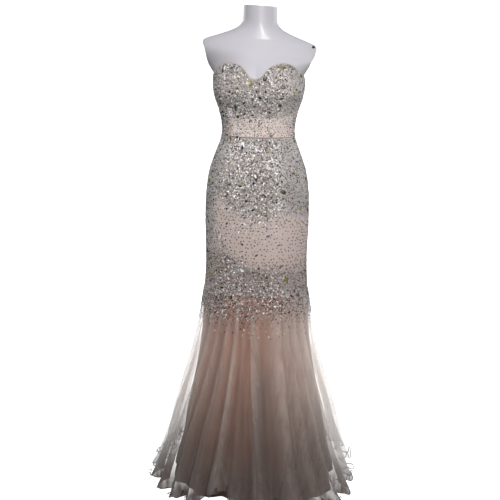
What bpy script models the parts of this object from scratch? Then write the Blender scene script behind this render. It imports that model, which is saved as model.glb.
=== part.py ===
"""Strapless fishtail evening gown on a limbless dress form, at real size.

Metres, +Z up, the gown's front faces -Y. The origin is the middle of the stand base's underside.
Angles are degrees round the body: 0 at the front, 90 at the wearer's left side (+X), 180 at the back.
"""

import math
from collections import namedtuple

import bmesh
import bpy
from mathutils import Matrix, Vector
from mathutils.bvhtree import BVHTree

# Cloth walls and the gaps between pieces
BODICE_WALL = 0.0020
SKIRT_WALL = 0.0016
NET_WALL = 0.0010
LINING_WALL = 0.0010
SEAM_GAP = 0.0003
FORM_CLEARANCE = 0.0014

# Heights of the gown's level lines
WAIST_SEAM = 1.146
FLARE_SEAM = 0.648
NET_HEM = 0.012
LINING_HEM = 0.014
ZIP_END = 0.940

# Columns of the fitted pieces
FRONT_STEP = 5.0
BACK_STEP = 7.5
SIDE_SEAM = 90.0
SEAM_COLUMN = 2.0

# The gown's outside, from the knee seam to the neckline. power 2 is an ellipse, more is squarer.
Section = namedtuple("Section", "height half front back power")
BODY = (
    Section(0.640, 0.1705, 0.128, 0.130, 2.05),
    Section(0.669, 0.1665, 0.121, 0.122, 2.10),
    Section(0.737, 0.1635, 0.114, 0.115, 2.15),
    Section(0.804, 0.1645, 0.110, 0.117, 2.15),
    Section(0.871, 0.1660, 0.107, 0.122, 2.15),
    Section(0.936, 0.1650, 0.104, 0.124, 2.15),
    Section(0.985, 0.1615, 0.101, 0.119, 2.15),
    Section(1.034, 0.1535, 0.096, 0.109, 2.15),
    Section(1.066, 0.1430, 0.091, 0.099, 2.15),
    Section(1.098, 0.1315, 0.087, 0.089, 2.15),
    Section(1.130, 0.1190, 0.084, 0.081, 2.15),
    Section(1.161, 0.1140, 0.083, 0.078, 2.15),
    Section(1.193, 0.1165, 0.085, 0.080, 2.15),
    Section(1.224, 0.1240, 0.089, 0.083, 2.15),
    Section(1.256, 0.1340, 0.094, 0.086, 2.15),
    Section(1.290, 0.1410, 0.098, 0.088, 2.15),
    Section(1.330, 0.1430, 0.100, 0.089, 2.10),
    Section(1.350, 0.1470, 0.099, 0.089, 2.05),
    Section(1.380, 0.1520, 0.097, 0.089, 2.00),
)

# The two cups swell out of the body's ring
CUP_ANGLE = 36.0
CUP_SPREAD = 29.0
CUP_HEIGHT = 1.286
CUP_ABOVE = 0.062
CUP_BELOW = 0.036
CUP_SWELL = 0.030

# Seams that aren't level: height at each angle from the front
SeamPoint = namedtuple("SeamPoint", "angle height")
NECKLINE = (
    SeamPoint(0, 1.324),
    SeamPoint(10, 1.333),
    SeamPoint(17, 1.349),
    SeamPoint(25, 1.362),
    SeamPoint(35, 1.370),
    SeamPoint(46, 1.373),
    SeamPoint(57, 1.365),
    SeamPoint(67, 1.349),
    SeamPoint(78, 1.334),
    SeamPoint(90, 1.322),
    SeamPoint(120, 1.306),
    SeamPoint(180, 1.298),
)
UNDERBUST = (
    SeamPoint(0, 1.216),
    SeamPoint(28, 1.208),
    SeamPoint(60, 1.218),
    SeamPoint(90, 1.236),
)

# The flare's outside, over the tops of its folds. fold is the share of each fold's depth there.
FlareRing = namedtuple("FlareRing", "height half front back power fold")
FLARE = (
    FlareRing(0.000, 0.3400, 0.345, 0.350, 3.70, 1.06),
    FlareRing(0.035, 0.3310, 0.333, 0.339, 3.40, 1.00),
    FlareRing(0.070, 0.3190, 0.318, 0.326, 3.00, 0.95),
    FlareRing(0.140, 0.2950, 0.290, 0.300, 2.60, 0.88),
    FlareRing(0.212, 0.2790, 0.267, 0.277, 2.38, 0.79),
    FlareRing(0.284, 0.2585, 0.241, 0.251, 2.28, 0.70),
    FlareRing(0.356, 0.2370, 0.214, 0.223, 2.18, 0.58),
    FlareRing(0.427, 0.2160, 0.188, 0.196, 2.10, 0.45),
    FlareRing(0.497, 0.1985, 0.165, 0.170, 2.05, 0.31),
    FlareRing(0.567, 0.1845, 0.146, 0.149, 2.05, 0.15),
    FlareRing(0.610, 0.1772, 0.136, 0.138, 2.05, 0.06),
    FlareRing(0.650, 0.1700, 0.126, 0.128, 2.05, 0.00),
)

ROUNDER = 2.4  # the flare is rounder at the back and at the front on the wearer's right

# The net's folds: where each fold's top stands at the seam and at the hem, and how deep the valley
# after it is
NetFold = namedtuple("NetFold", "at_seam at_hem depth")
NET_FOLDS = (
    NetFold(-172, -171, 0.040),
    NetFold(-156, -157, 0.042),
    NetFold(-141, -142, 0.038),
    NetFold(-127, -126, 0.044),
    NetFold(-111, -112, 0.040),
    NetFold(-96, -97, 0.042),
    NetFold(-81, -82, 0.036),
    NetFold(-66, -67, 0.044),
    NetFold(-52, -53, 0.034),
    NetFold(-41, -40, 0.030),
    NetFold(-29, -29, 0.034),
    NetFold(-17, -16, 0.030),
    NetFold(-8, -4, 0.028),
    NetFold(1, 9, 0.052),
    NetFold(35, 27, 0.034),
    NetFold(45, 39, 0.030),
    NetFold(54, 50, 0.036),
    NetFold(65, 63, 0.038),
    NetFold(77, 78, 0.040),
    NetFold(91, 93, 0.040),
    NetFold(107, 108, 0.044),
    NetFold(123, 124, 0.040),
    NetFold(139, 140, 0.042),
    NetFold(155, 156, 0.044),
)
COLUMNS_A_FOLD = 8
FOLD_AT_SEAM = 0.030  # how far round the seam a narrow fold takes up
NET_ROWS = (NET_HEM, 0.034, 0.070, 0.190, 0.350, 0.510, FLARE_SEAM - SEAM_GAP)

# The rolled hem, stiffened with line, waves in and out once to a fold
HEM_REACH = 0.009
HEM_LIFT = 0.010
HEM_WAVE_TOP = 0.066

# One fold's hem is caught up at the front
CAUGHT_ANGLE = -13.0
CAUGHT_SPREAD = 8.0
CAUGHT_LIFT = 0.052
CAUGHT_TOP = 0.300

# The lining's flare hangs inside the net's valleys
LINING_WAVES = 12
COLUMNS_A_LINING_WAVE = 5
LINING_SEAM_COLUMN = 1.0
LINING_INSET = 0.062
LINING_DEPTH = 0.022
LINING_TOP_GAP = 0.0005
LINING_ROWS = (LINING_HEM, 0.170, 0.340, 0.510, FLARE_SEAM - SEAM_GAP)

# The dress form above the gown. reach is the ring's half width before the arm faces cut it at half.
FormRing = namedtuple("FormRing", "height half reach front back")
FORM = (
    FormRing(1.318, 0.1370, 0.1370, 0.094, 0.084),
    FormRing(1.332, 0.1385, 0.1385, 0.092, 0.084),
    FormRing(1.345, 0.1460, 0.1485, 0.090, 0.086),
    FormRing(1.360, 0.1545, 0.1600, 0.086, 0.088),
    FormRing(1.380, 0.1625, 0.1770, 0.080, 0.089),
    FormRing(1.400, 0.1695, 0.1870, 0.073, 0.086),
    FormRing(1.415, 0.1745, 0.1860, 0.068, 0.081),
    FormRing(1.425, 0.1770, 0.1810, 0.064, 0.077),
    FormRing(1.431, 0.1745, 0.1750, 0.062, 0.074),
    FormRing(1.437, 0.1650, 0.1650, 0.060, 0.072),
    FormRing(1.443, 0.1490, 0.1490, 0.058, 0.069),
    FormRing(1.450, 0.1290, 0.1290, 0.057, 0.067),
    FormRing(1.458, 0.1070, 0.1070, 0.056, 0.065),
    FormRing(1.466, 0.0880, 0.0880, 0.055, 0.063),
    FormRing(1.474, 0.0720, 0.0720, 0.054, 0.061),
    FormRing(1.484, 0.0600, 0.0600, 0.053, 0.059),
    FormRing(1.498, 0.0535, 0.0535, 0.0525, 0.057),
    FormRing(1.543, 0.0515, 0.0515, 0.052, 0.056),
)
FORM_HEIGHTS = (
    0.792, 0.800, 0.816, 0.870, 0.930, 0.985, 1.034, 1.066, 1.098, 1.125, 1.146,
    1.162, 1.178, 1.200, 1.222, 1.242, 1.256, 1.269, 1.284, 1.300,
)
FORM_ROUNDED = {0.792: 0.70, 0.800: 0.88}
FORM_POWER = 1.9
FORM_BUST = 0.98
FORM_FRONT_STEP = 6.0
FORM_BACK_STEP = 9.0
FORM_TURN = 9.0
FORM_TILT = 2.8
TURN_FROM = 1.362
TURN_TO = 1.408

# Fitting at the tip of the wearer's left shoulder, just before the arm face
FITTING_RADIUS = 0.0048
FITTING_LENGTH = 0.0045
FITTING_HEIGHT = 1.428
FITTING_ANGLE = 82.0
FITTING_SINK = 0.0002  # the form's flat faces lie a little inside its true curve here

# Stand
POLE_RADIUS = 0.016
BASE_RADIUS = 0.165
BASE_THICKNESS = 0.010
COLLAR_RADIUS = 0.030
COLLAR_TOP = 0.055
ROUND_STEPS = 24

# Centre-back zip: a closed coil strip, its slider and the pull tab, which swings under the slider's
# bridge. Slider sizes are across, outward and up.
ZIP_WIDTH = 0.0050
ZIP_WALL = 0.0016
ZIP_ROWS = 18
SLIDER_DROP = 0.016
SLIDER_SIZE = (0.0070, 0.0032, 0.0110)
BRIDGE_WIDTH = 0.0016
BRIDGE_HALF = 0.0044
BRIDGE_BAR = 0.0011
BRIDGE_RISE = 0.0023
TAB_SIZE = (0.0066, 0.0012, 0.0260)
TAB_RIM = 0.0016
TAB_WINDOW = 0.0070
TAB_AXIS = 0.0012

# Large sewn-on stones: height, distance round from the front, length, width and turn of each
Stone = namedtuple("Stone", "height angle length width turn tint")
CLEAR, CITRINE, SMOKE = "clear", "citrine", "smoke"
STONES = (
    Stone(1.351, -51, 0.026, 0.011, 22, CITRINE),
    Stone(1.312, -9, 0.024, 0.016, -50, CITRINE),
    Stone(1.358, 43, 0.027, 0.012, -80, CITRINE),
    Stone(1.327, 15, 0.016, 0.014, 40, SMOKE),
    Stone(1.332, 70, 0.021, 0.009, -12, CITRINE),
    Stone(1.285, 55, 0.022, 0.010, 3, CITRINE),
    Stone(1.303, 37, 0.018, 0.013, 90, SMOKE),
    Stone(1.271, 9, 0.018, 0.015, -40, SMOKE),
    Stone(1.269, 37, 0.015, 0.008, 80, SMOKE),
    Stone(1.247, 40, 0.019, 0.013, -40, SMOKE),
    Stone(1.237, -35, 0.026, 0.013, -8, SMOKE),
    Stone(1.264, -5, 0.013, 0.009, -40, SMOKE),
    Stone(1.253, -19, 0.013, 0.008, 50, SMOKE),
    Stone(1.266, -55, 0.017, 0.008, -18, CITRINE),
    Stone(1.226, 26, 0.014, 0.010, -60, SMOKE),
    Stone(1.134, -52, 0.025, 0.009, 13, CITRINE),
    Stone(1.116, -26, 0.031, 0.014, 0, CLEAR),
    Stone(1.124, 40, 0.015, 0.010, 20, CLEAR),
    Stone(1.081, 33, 0.018, 0.008, -30, CLEAR),
    Stone(1.051, 29, 0.018, 0.016, -35, CLEAR),
    Stone(1.041, 62, 0.023, 0.011, -22, CITRINE),
    Stone(1.028, 2, 0.029, 0.015, -20, CITRINE),
    Stone(1.011, 82, 0.017, 0.007, 0, CITRINE),
    Stone(1.006, -74, 0.018, 0.008, 0, CITRINE),
    Stone(0.996, -24, 0.027, 0.015, 90, CITRINE),
    Stone(0.980, 46, 0.022, 0.013, -75, SMOKE),
    Stone(0.926, 68, 0.019, 0.009, 28, CITRINE),
    Stone(0.922, -2, 0.021, 0.013, 90, CLEAR),
    Stone(0.728, -15, 0.020, 0.015, -35, CLEAR),
    Stone(0.707, -65, 0.018, 0.009, 0, CITRINE),
    Stone(0.701, 48, 0.023, 0.012, 75, CITRINE),
    Stone(0.669, -44, 0.020, 0.010, 90, SMOKE),
    Stone(1.250, 128, 0.022, 0.010, 15, CITRINE),
    Stone(1.250, -128, 0.022, 0.010, -15, CITRINE),
    Stone(1.035, 138, 0.024, 0.012, 25, CLEAR),
    Stone(1.035, -138, 0.024, 0.012, -25, CITRINE),
    Stone(0.955, 118, 0.022, 0.012, 80, SMOKE),
    Stone(0.955, -118, 0.022, 0.012, -80, CITRINE),
)
STONE_SIDES = 6
STONE_HEIGHT = 0.0036
STONE_TABLE = 0.5
STONE_GAP = 0.0004


def clear_scene():
    for old in list(bpy.data.objects):
        bpy.data.objects.remove(old)


def smooth_between(rows, key, value, name):
    """The column called name at value of the column key, on a smooth curve through the table."""
    places = [getattr(row, key) for row in rows]
    values = [getattr(row, name) for row in rows]
    if value <= places[0]:
        return values[0]
    if value >= places[-1]:
        return values[-1]
    slopes = []
    for i in range(len(places)):
        before, after = max(i - 1, 0), min(i + 1, len(places) - 1)
        slopes.append((values[after] - values[before]) / (places[after] - places[before]))
    i = max(k for k in range(len(places) - 1) if places[k] <= value)
    span = places[i + 1] - places[i]
    t = (value - places[i]) / span
    return (
        (2 * t**3 - 3 * t**2 + 1) * values[i]
        + (t**3 - 2 * t**2 + t) * span * slopes[i]
        + (3 * t**2 - 2 * t**3) * values[i + 1]
        + (t**3 - t**2) * span * slopes[i + 1]
    )


def ease(t):
    t = min(max(t, 0.0), 1.0)
    return t * t * (3 - 2 * t)


def ring_radius(angle, half, depth, power):
    """How far a squared ellipse reaches from the axis at this angle."""
    across = abs(math.sin(math.radians(angle))) / half
    along = abs(math.cos(math.radians(angle))) / depth
    return (across**power + along**power) ** (-1 / power)


def at(angle, radius, height):
    turn = math.radians(angle)
    return Vector((radius * math.sin(turn), -radius * math.cos(turn), height))


def wrapped(angle):
    """The angle from the front, from -180 to 180."""
    return (angle + 180.0) % 360.0 - 180.0


def table_radius(rows, angle, height):
    front = math.cos(math.radians(angle)) > 0
    depth = smooth_between(rows, "height", height, "front" if front else "back")
    half = smooth_between(rows, "height", height, "half")
    power = smooth_between(rows, "height", height, "power")
    if not front or wrapped(angle) < 0:
        power = min(power, ROUNDER)
    return ring_radius(angle, half, depth, power)


def cup_swell(angle, height):
    aside = (abs(wrapped(angle)) - CUP_ANGLE) / CUP_SPREAD
    rise = height - CUP_HEIGHT
    up = rise / (CUP_ABOVE if rise > 0 else CUP_BELOW)
    return CUP_SWELL * math.exp(-aside * aside - up * up)


def body_point(angle, height):
    return at(angle, table_radius(BODY, angle, height) + cup_swell(angle, height), height)


def neckline(angle):
    return smooth_between(NECKLINE, "angle", abs(wrapped(angle)), "height")


def underbust(angle):
    return smooth_between(UNDERBUST, "angle", abs(wrapped(angle)), "height")


def net_angle(column, height):
    """The angle of a column of the net, counted in folds, at this height."""
    turns, fold = divmod(math.floor(column), len(NET_FOLDS))
    fall = ease((FLARE_SEAM - height) / (FLARE_SEAM - NET_HEM))
    tops = [row.at_seam + (row.at_hem - row.at_seam) * fall for row in NET_FOLDS]
    tops.append(tops[0] + 360)
    share = column - math.floor(column)
    return 360 * turns + tops[fold] + (tops[fold + 1] - tops[fold]) * share


def net_point(column, height):
    """The net flare's outside: fold tops on the outline, valleys between them, and the waving hem."""
    angle = net_angle(column, height)
    wave = 2 * math.pi * column
    depth = NET_FOLDS[math.floor(column) % len(NET_FOLDS)].depth
    share = smooth_between(FLARE, "height", height, "fold")
    valley = share * depth * (1 - math.cos(wave)) / 2
    hem = ease((HEM_WAVE_TOP - height) / (HEM_WAVE_TOP - NET_HEM))
    outward = hem * HEM_REACH * math.sin(wave + 0.9)
    lift = hem * HEM_LIFT * (1 - math.cos(wave + 0.5)) / 2
    aside = (wrapped(angle) - CAUGHT_ANGLE) / CAUGHT_SPREAD
    caught = CAUGHT_LIFT * math.exp(-aside * aside) * ease((CAUGHT_TOP - height) / CAUGHT_TOP)
    radius = table_radius(FLARE, angle, height) - valley + outward
    return at(angle, radius, height + lift + caught)


def lining_point(angle, height):
    """The lining flare's outside, under the net's valleys, with shallower waves of its own."""
    share = smooth_between(FLARE, "height", height, "fold")
    top_gap = NET_WALL + LINING_TOP_GAP
    waves = share * LINING_DEPTH * (1 - math.cos(math.radians(LINING_WAVES * angle))) / 2
    radius = table_radius(FLARE, angle, height) - top_gap - share * LINING_INSET - waves
    return at(angle, radius, height)


def outward_of(place, angle, height):
    """The way out from a surface, square to it."""
    around = place(angle + 0.5, height) - place(angle - 0.5, height)
    upward = place(angle, height + 0.002) - place(angle, height - 0.002)
    return around.cross(upward).normalized()


def form_radius(angle, height):
    """The dress form: inside the gown up to its sides' top edge, then its own chest, shoulders and neck."""
    swell = cup_swell(angle, height) * FORM_BUST
    under = table_radius(BODY, angle, height) + swell
    slant = outward_of(body_point, angle, height).dot(at(angle, 1.0, 0.0))
    under -= (BODICE_WALL + FORM_CLEARANCE) / slant
    lowest = FORM[0].height
    if height <= lowest:
        return under
    front = math.cos(math.radians(angle)) > 0
    depth = smooth_between(FORM, "height", height, "front" if front else "back")
    reach = smooth_between(FORM, "height", height, "reach")
    half = smooth_between(FORM, "height", height, "half")
    own = ring_radius(angle, reach, depth, FORM_POWER) + swell
    across = abs(math.sin(math.radians(angle)))
    if own * across > half:
        own = half / across
    blend = ease((height - lowest) / (FORM[1].height - lowest))
    return under + (own - under) * blend


def form_point(angle, height):
    """The form's skin. Its shoulders are turned and tilted a little on its hips."""
    share = ease((height - TURN_FROM) / (TURN_TO - TURN_FROM))
    radius = form_radius(angle, height) * FORM_ROUNDED.get(height, 1.0)
    point = at(angle + FORM_TURN * share, radius, height)
    point.z -= point.x * math.tan(math.radians(FORM_TILT)) * share
    return point


def material(name, colour, roughness, metallic=0.0, sheen=0.0):
    made = bpy.data.materials.new(name)
    made.use_nodes = True
    shader = made.node_tree.nodes["Principled BSDF"]
    shader.inputs["Base Color"].default_value = (*colour, 1.0)
    shader.inputs["Roughness"].default_value = roughness
    shader.inputs["Metallic"].default_value = metallic
    shader.inputs["Sheen Weight"].default_value = sheen
    made.diffuse_color = (*colour, 1.0)
    return made


def add_object(name, mesh, finish, collection):
    made = bpy.data.objects.new(name, mesh)
    mesh.materials.append(finish)
    collection.objects.link(made)
    return made


def steps_between(start, end, step):
    count = max(1, round(abs(end - start) / step))
    return [start + (end - start) * i / count for i in range(count + 1)]


def grid_mesh(name, columns, rows, place):
    """An open sheet: a grid whose points are moved to place(column, row)."""
    mesh = bpy.data.meshes.new(name)
    sheet = bmesh.new()
    bmesh.ops.create_grid(sheet, x_segments=len(columns) - 1, y_segments=len(rows) - 1, size=1.0)
    for vert in sheet.verts:
        column = round((vert.co.x + 1) / 2 * (len(columns) - 1))
        row = round((vert.co.y + 1) / 2 * (len(rows) - 1))
        vert.co = place(columns[column], rows[row])
    sheet.to_mesh(mesh)
    sheet.free()
    return mesh


def cloth(name, columns, rows, place, wall, finish, collection):
    """A cloth panel: the open sheet, with its wall's thickness added on the inside."""
    panel = add_object(name, grid_mesh(name, columns, rows, place), finish, collection)
    thicken = panel.modifiers.new("wall", "SOLIDIFY")
    thicken.thickness = wall
    thicken.offset = -1.0
    panel.data.shade_smooth()
    return panel


def seam_margin(angle, height):
    """Half a seam gap, as an angle at this radius."""
    return math.degrees(SEAM_GAP / 2 / body_point(angle, height).to_2d().length)


def trimmed(columns, gap_start, gap_end):
    """The columns with their first and last drawn in, to leave half a seam each side."""
    return [columns[0] + gap_start, *columns[1:-1], columns[-1] - gap_end]


def panel_columns(start, end, step):
    """Columns from one seam to the next, with one more close to each side seam."""
    columns = steps_between(start, end, step)
    for seam in (-SIDE_SEAM, SIDE_SEAM):
        if min(start, end) <= seam <= max(start, end):
            inward = 1 if seam == min(start, end) else -1
            columns.append(seam + inward * SEAM_COLUMN)
    return sorted(columns)


def make_bodice(finish, collection):
    """Two cups, the midriff under them, and the two back panels that meet the zip."""
    half_gap = SEAM_GAP / 2
    margin = seam_margin(SIDE_SEAM, WAIST_SEAM)
    shares = [i / 9 for i in range(10)]

    def cup_place(angle, share):
        low = underbust(angle) + half_gap
        return body_point(angle, low + (neckline(angle) - low) * share)

    for name, side in (("bust_cup_left", 1), ("bust_cup_right", -1)):
        columns = trimmed(panel_columns(0, side * SIDE_SEAM, FRONT_STEP), margin, margin)
        cloth(name, columns, shares, cup_place, BODICE_WALL, finish, collection)

    def midriff_place(angle, share):
        low, high = WAIST_SEAM + half_gap, underbust(angle) - half_gap
        return body_point(angle, low + (high - low) * share)

    columns = trimmed(panel_columns(-SIDE_SEAM, SIDE_SEAM, FRONT_STEP), margin, margin)
    cloth("midriff_front", columns, [0, 1 / 3, 2 / 3, 1], midriff_place, BODICE_WALL, finish, collection)

    def back_place(angle, share):
        low = WAIST_SEAM + half_gap
        return body_point(angle, low + (neckline(angle) - low) * share)

    zip_margin = math.degrees((ZIP_WIDTH / 2 + SEAM_GAP) / body_point(180, WAIST_SEAM).to_2d().length)
    for name, side in (("bodice_back_left", 1), ("bodice_back_right", -1)):
        columns = panel_columns(side * SIDE_SEAM, side * 180.0, BACK_STEP)
        gaps = (margin, zip_margin) if side > 0 else (zip_margin, margin)
        shares = [i / 6 for i in range(7)]
        cloth(name, trimmed(columns, *gaps), shares, back_place, BODICE_WALL, finish, collection)


def skirt_heights():
    top, low = WAIST_SEAM - SEAM_GAP / 2, FLARE_SEAM + SEAM_GAP / 2
    inner = [0.700, 0.775, 0.860, 0.940, 1.000, 1.045, 1.080, 1.114]
    return [low, *inner, top]


def make_skirt(finish, collection):
    """The fitted skirt: a front and two backs, joined at the sides and the centre back."""
    margin = seam_margin(SIDE_SEAM, WAIST_SEAM)
    columns = trimmed(panel_columns(-SIDE_SEAM, SIDE_SEAM, FRONT_STEP), margin, margin)
    cloth("skirt_front", columns, skirt_heights(), body_point, SKIRT_WALL, finish, collection)

    def back_place(angle, height):
        """The centre-back edge stands aside for the zip above its end."""
        if abs(angle) < 180.0 - BACK_STEP / 2:
            return body_point(angle, height)
        side = 1 if angle > 0 else -1
        room = SEAM_GAP / 2
        if height > ZIP_END - SEAM_GAP:
            room = ZIP_WIDTH / 2 + SEAM_GAP
        radius = body_point(180, height).to_2d().length
        return body_point(side * (180.0 - math.degrees(room / radius)), height)

    for name, side in (("skirt_back_left", 1), ("skirt_back_right", -1)):
        columns = panel_columns(side * SIDE_SEAM, side * 180.0, BACK_STEP)
        gaps = (margin, 0.0) if side > 0 else (0.0, margin)
        cloth(name, trimmed(columns, *gaps), skirt_heights(), back_place, SKIRT_WALL, finish, collection)


def make_net(finish, collection):
    """The net flare in four gores, each from the bottom of a valley to the bottom of another."""
    count = len(NET_FOLDS)
    gores = {"net_back": 20, "net_side_right": 4, "net_front": 9, "net_side_left": 15}
    cuts = sorted(gores.values())
    for name, first in gores.items():
        last = cuts[(cuts.index(first) + 1) % len(cuts)]
        last += count if last < first else 0
        columns = steps_between(first + 0.5, last + 0.5, 1 / COLUMNS_A_FOLD)
        margin = SEAM_GAP / 2 / FOLD_AT_SEAM
        cloth(name, trimmed(columns, margin, margin), NET_ROWS, net_point, NET_WALL, finish, collection)


def make_lining(finish, collection):
    """The satin lining's flare, a front and a back."""
    step = 360 / (LINING_WAVES * COLUMNS_A_LINING_WAVE)
    margin = math.degrees(SEAM_GAP / 2 / lining_point(SIDE_SEAM, FLARE_SEAM).to_2d().length)
    for name, start in (("lining_front", -SIDE_SEAM), ("lining_back", SIDE_SEAM)):
        columns = steps_between(start, start + 180.0, step)
        columns = [columns[0], columns[0] + LINING_SEAM_COLUMN, *columns[1:-1]]
        columns += [start + 180.0 - LINING_SEAM_COLUMN, start + 180.0]
        columns = trimmed(columns, margin, margin)
        cloth(name, columns, LINING_ROWS, lining_point, LINING_WALL, finish, collection)


def make_form(finish, collection):
    """The torso: rings lofted into one closed skin, flat at the neck and under the hips."""
    heights = [*FORM_HEIGHTS, *[ring.height for ring in FORM]]
    columns = steps_between(-90.0, 90.0, FORM_FRONT_STEP)[:-1]
    columns += steps_between(90.0, 270.0, FORM_BACK_STEP)[:-1]
    mesh = bpy.data.meshes.new("form_torso")
    skin = bmesh.new()
    rings = []
    for height in heights:
        rings.append([skin.verts.new(form_point(angle, height)) for angle in columns])
    for low, high in zip(rings, rings[1:]):
        for i in range(len(columns)):
            j = (i + 1) % len(columns)
            skin.faces.new((low[i], low[j], high[j], high[i]))
    skin.faces.new(list(reversed(rings[0])))
    skin.faces.new(rings[-1])
    bmesh.ops.recalc_face_normals(skin, faces=skin.faces)
    skin.to_mesh(mesh)
    skin.free()
    mesh.shade_smooth()
    return add_object("form_torso", mesh, finish, collection)


def make_stand(finish, collection):
    """A turned base with its collar, and the pole that carries the torso."""
    profile = (
        (0.0, COLLAR_TOP),
        (COLLAR_RADIUS - 0.004, COLLAR_TOP),
        (COLLAR_RADIUS, COLLAR_TOP - 0.004),
        (COLLAR_RADIUS + 0.002, BASE_THICKNESS + 0.008),
        (COLLAR_RADIUS + 0.010, BASE_THICKNESS),
        (BASE_RADIUS - 0.003, BASE_THICKNESS - 0.001),
        (BASE_RADIUS, BASE_THICKNESS - 0.004),
        (BASE_RADIUS, 0.0),
        (0.0, 0.0),
    )
    mesh = bpy.data.meshes.new("stand_base")
    mesh.from_pydata([(x, 0, z) for x, z in profile], [(i, i + 1) for i in range(len(profile) - 1)], [])
    base = add_object("stand_base", mesh, finish, collection)
    turn = base.modifiers.new("turned", "SCREW")
    turn.steps = turn.render_steps = ROUND_STEPS
    turn.use_merge_vertices = True
    turn.merge_threshold = 0.0001

    low, high = COLLAR_TOP + SEAM_GAP, FORM_HEIGHTS[0] - SEAM_GAP
    mesh = bpy.data.meshes.new("stand_pole")
    rod = bmesh.new()
    bmesh.ops.create_cone(
        rod, cap_ends=True, segments=24, radius1=POLE_RADIUS, radius2=POLE_RADIUS, depth=high - low
    )
    rod.to_mesh(mesh)
    rod.free()
    pole = add_object("stand_pole", mesh, finish, collection)
    pole.location = (0, 0, (low + high) / 2)


def box_mesh(name, size, centre):
    mesh = bpy.data.meshes.new(name)
    box = bmesh.new()
    bmesh.ops.create_cube(box, size=1.0)
    bmesh.ops.scale(box, vec=size, verts=box.verts)
    bmesh.ops.translate(box, vec=centre, verts=box.verts)
    box.to_mesh(mesh)
    box.free()
    return mesh


def staple_mesh(name):
    """The slider's bridge: a staple's outline, extruded across. Its feet start inside the slider."""
    half, bar, foot = BRIDGE_HALF, BRIDGE_BAR, SLIDER_SIZE[1] - 0.001
    inner, outer = SLIDER_SIZE[1] + BRIDGE_RISE, SLIDER_SIZE[1] + BRIDGE_RISE + BRIDGE_BAR
    outline = (
        (foot, -half),
        (outer, -half),
        (outer, half),
        (foot, half),
        (foot, half - bar),
        (inner, half - bar),
        (inner, bar - half),
        (foot, bar - half),
    )
    mesh = bpy.data.meshes.new(name)
    staple = bmesh.new()
    side = staple.faces.new([staple.verts.new((-BRIDGE_WIDTH / 2, y, z)) for y, z in outline])
    made = bmesh.ops.extrude_face_region(staple, geom=[side])["geom"]
    moved = [item for item in made if isinstance(item, bmesh.types.BMVert)]
    bmesh.ops.translate(staple, vec=(BRIDGE_WIDTH, 0, 0), verts=moved)
    bmesh.ops.recalc_face_normals(staple, faces=staple.faces)
    staple.to_mesh(mesh)
    staple.free()
    return mesh


def combine(target, tool, operation):
    change = target.modifiers.new(tool.name, "BOOLEAN")
    change.operation = operation
    change.object = tool
    change.solver = "EXACT"


def make_zip(finish, metal, collection, tools):
    """The closed zip at the centre back, the slider near its top, and the tab that hangs from it."""
    low, high = ZIP_END, neckline(180) - 0.004

    def place(across, height):
        radius = body_point(180, height).to_2d().length
        return body_point(180 + math.degrees(across / radius), height)

    heights = steps_between(low, high, (high - low) / ZIP_ROWS)
    edges = [-ZIP_WIDTH / 2, 0.0, ZIP_WIDTH / 2]
    cloth("zip_coil", edges, heights, place, ZIP_WALL, finish, collection)

    slider_height = high - SLIDER_DROP
    seat = body_point(180, slider_height)
    outward = outward_of(body_point, 180, slider_height)
    upward = Vector((1, 0, 0)).cross(outward).normalized()
    frame = Matrix((upward.cross(outward) * -1, outward, upward)).transposed()
    base = Matrix.Translation(seat + outward * SEAM_GAP) @ frame.to_4x4()

    centre = (0, SLIDER_SIZE[1] / 2, 0)
    slider = add_object("zip_slider", box_mesh("zip_slider", SLIDER_SIZE, centre), metal, collection)
    bridge = add_object("slider_bridge", staple_mesh("slider_bridge"), metal, tools)
    soften = slider.modifiers.new("soft_edges", "BEVEL")
    soften.width = 0.0006
    soften.segments = 1
    combine(slider, bridge, "UNION")

    across, thick, length = TAB_SIZE
    top = TAB_RIM / 2
    pull_mesh = box_mesh("zip_pull", TAB_SIZE, (0, 0, top - length / 2))
    pull = add_object("zip_pull", pull_mesh, metal, collection)
    window_size = (across - 2 * TAB_RIM, 0.01, TAB_WINDOW)
    window_mesh = box_mesh("tab_window", window_size, (0, 0, -top - TAB_WINDOW / 2))
    window = add_object("tab_window", window_mesh, metal, tools)
    combine(pull, window, "DIFFERENCE")
    hinge = Matrix.Translation(base @ Vector((0, SLIDER_SIZE[1] + TAB_AXIS, 0)))
    for made, matrix in ((slider, base), (bridge, base), (pull, hinge), (window, hinge)):
        made.matrix_world = matrix
    for tool in (bridge, window):
        tool.hide_render = True
        tool.display_type = "WIRE"


def make_fitting(finish, collection):
    """A short stud near the shoulder's tip, where an arm is fastened."""
    seat = form_point(FITTING_ANGLE, FITTING_HEIGHT)
    outward = outward_of(form_point, FITTING_ANGLE, FITTING_HEIGHT)
    mesh = bpy.data.meshes.new("arm_fitting")
    stud = bmesh.new()
    bmesh.ops.create_cone(
        stud,
        cap_ends=True,
        segments=12,
        radius1=FITTING_RADIUS,
        radius2=FITTING_RADIUS * 0.8,
        depth=FITTING_LENGTH,
    )
    stud.to_mesh(mesh)
    stud.free()
    made = add_object("arm_fitting", mesh, finish, collection)
    turn = outward.to_track_quat("Z", "Y").to_matrix().to_4x4()
    centre = seat + outward * (FITTING_LENGTH / 2 - FITTING_SINK)
    made.matrix_world = Matrix.Translation(centre) @ turn


def highest_under(sheets, frame, seat, stone):
    """How far the panels stand out, along the frame's third axis, anywhere under the stone's girdle."""
    outward = frame.col[2]
    most = -1.0
    for i in range(13):
        for j in range(13):
            x, y = (i / 6 - 1) * stone.width / 2, (j / 6 - 1) * stone.length / 2
            start = seat + frame @ Vector((x, y, 0.02))
            for sheet in sheets:
                hit, _, _, _ = sheet.ray_cast(start, -outward, 0.04)
                if hit is not None:
                    most = max(most, (hit - seat).dot(outward))
    return most


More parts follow.
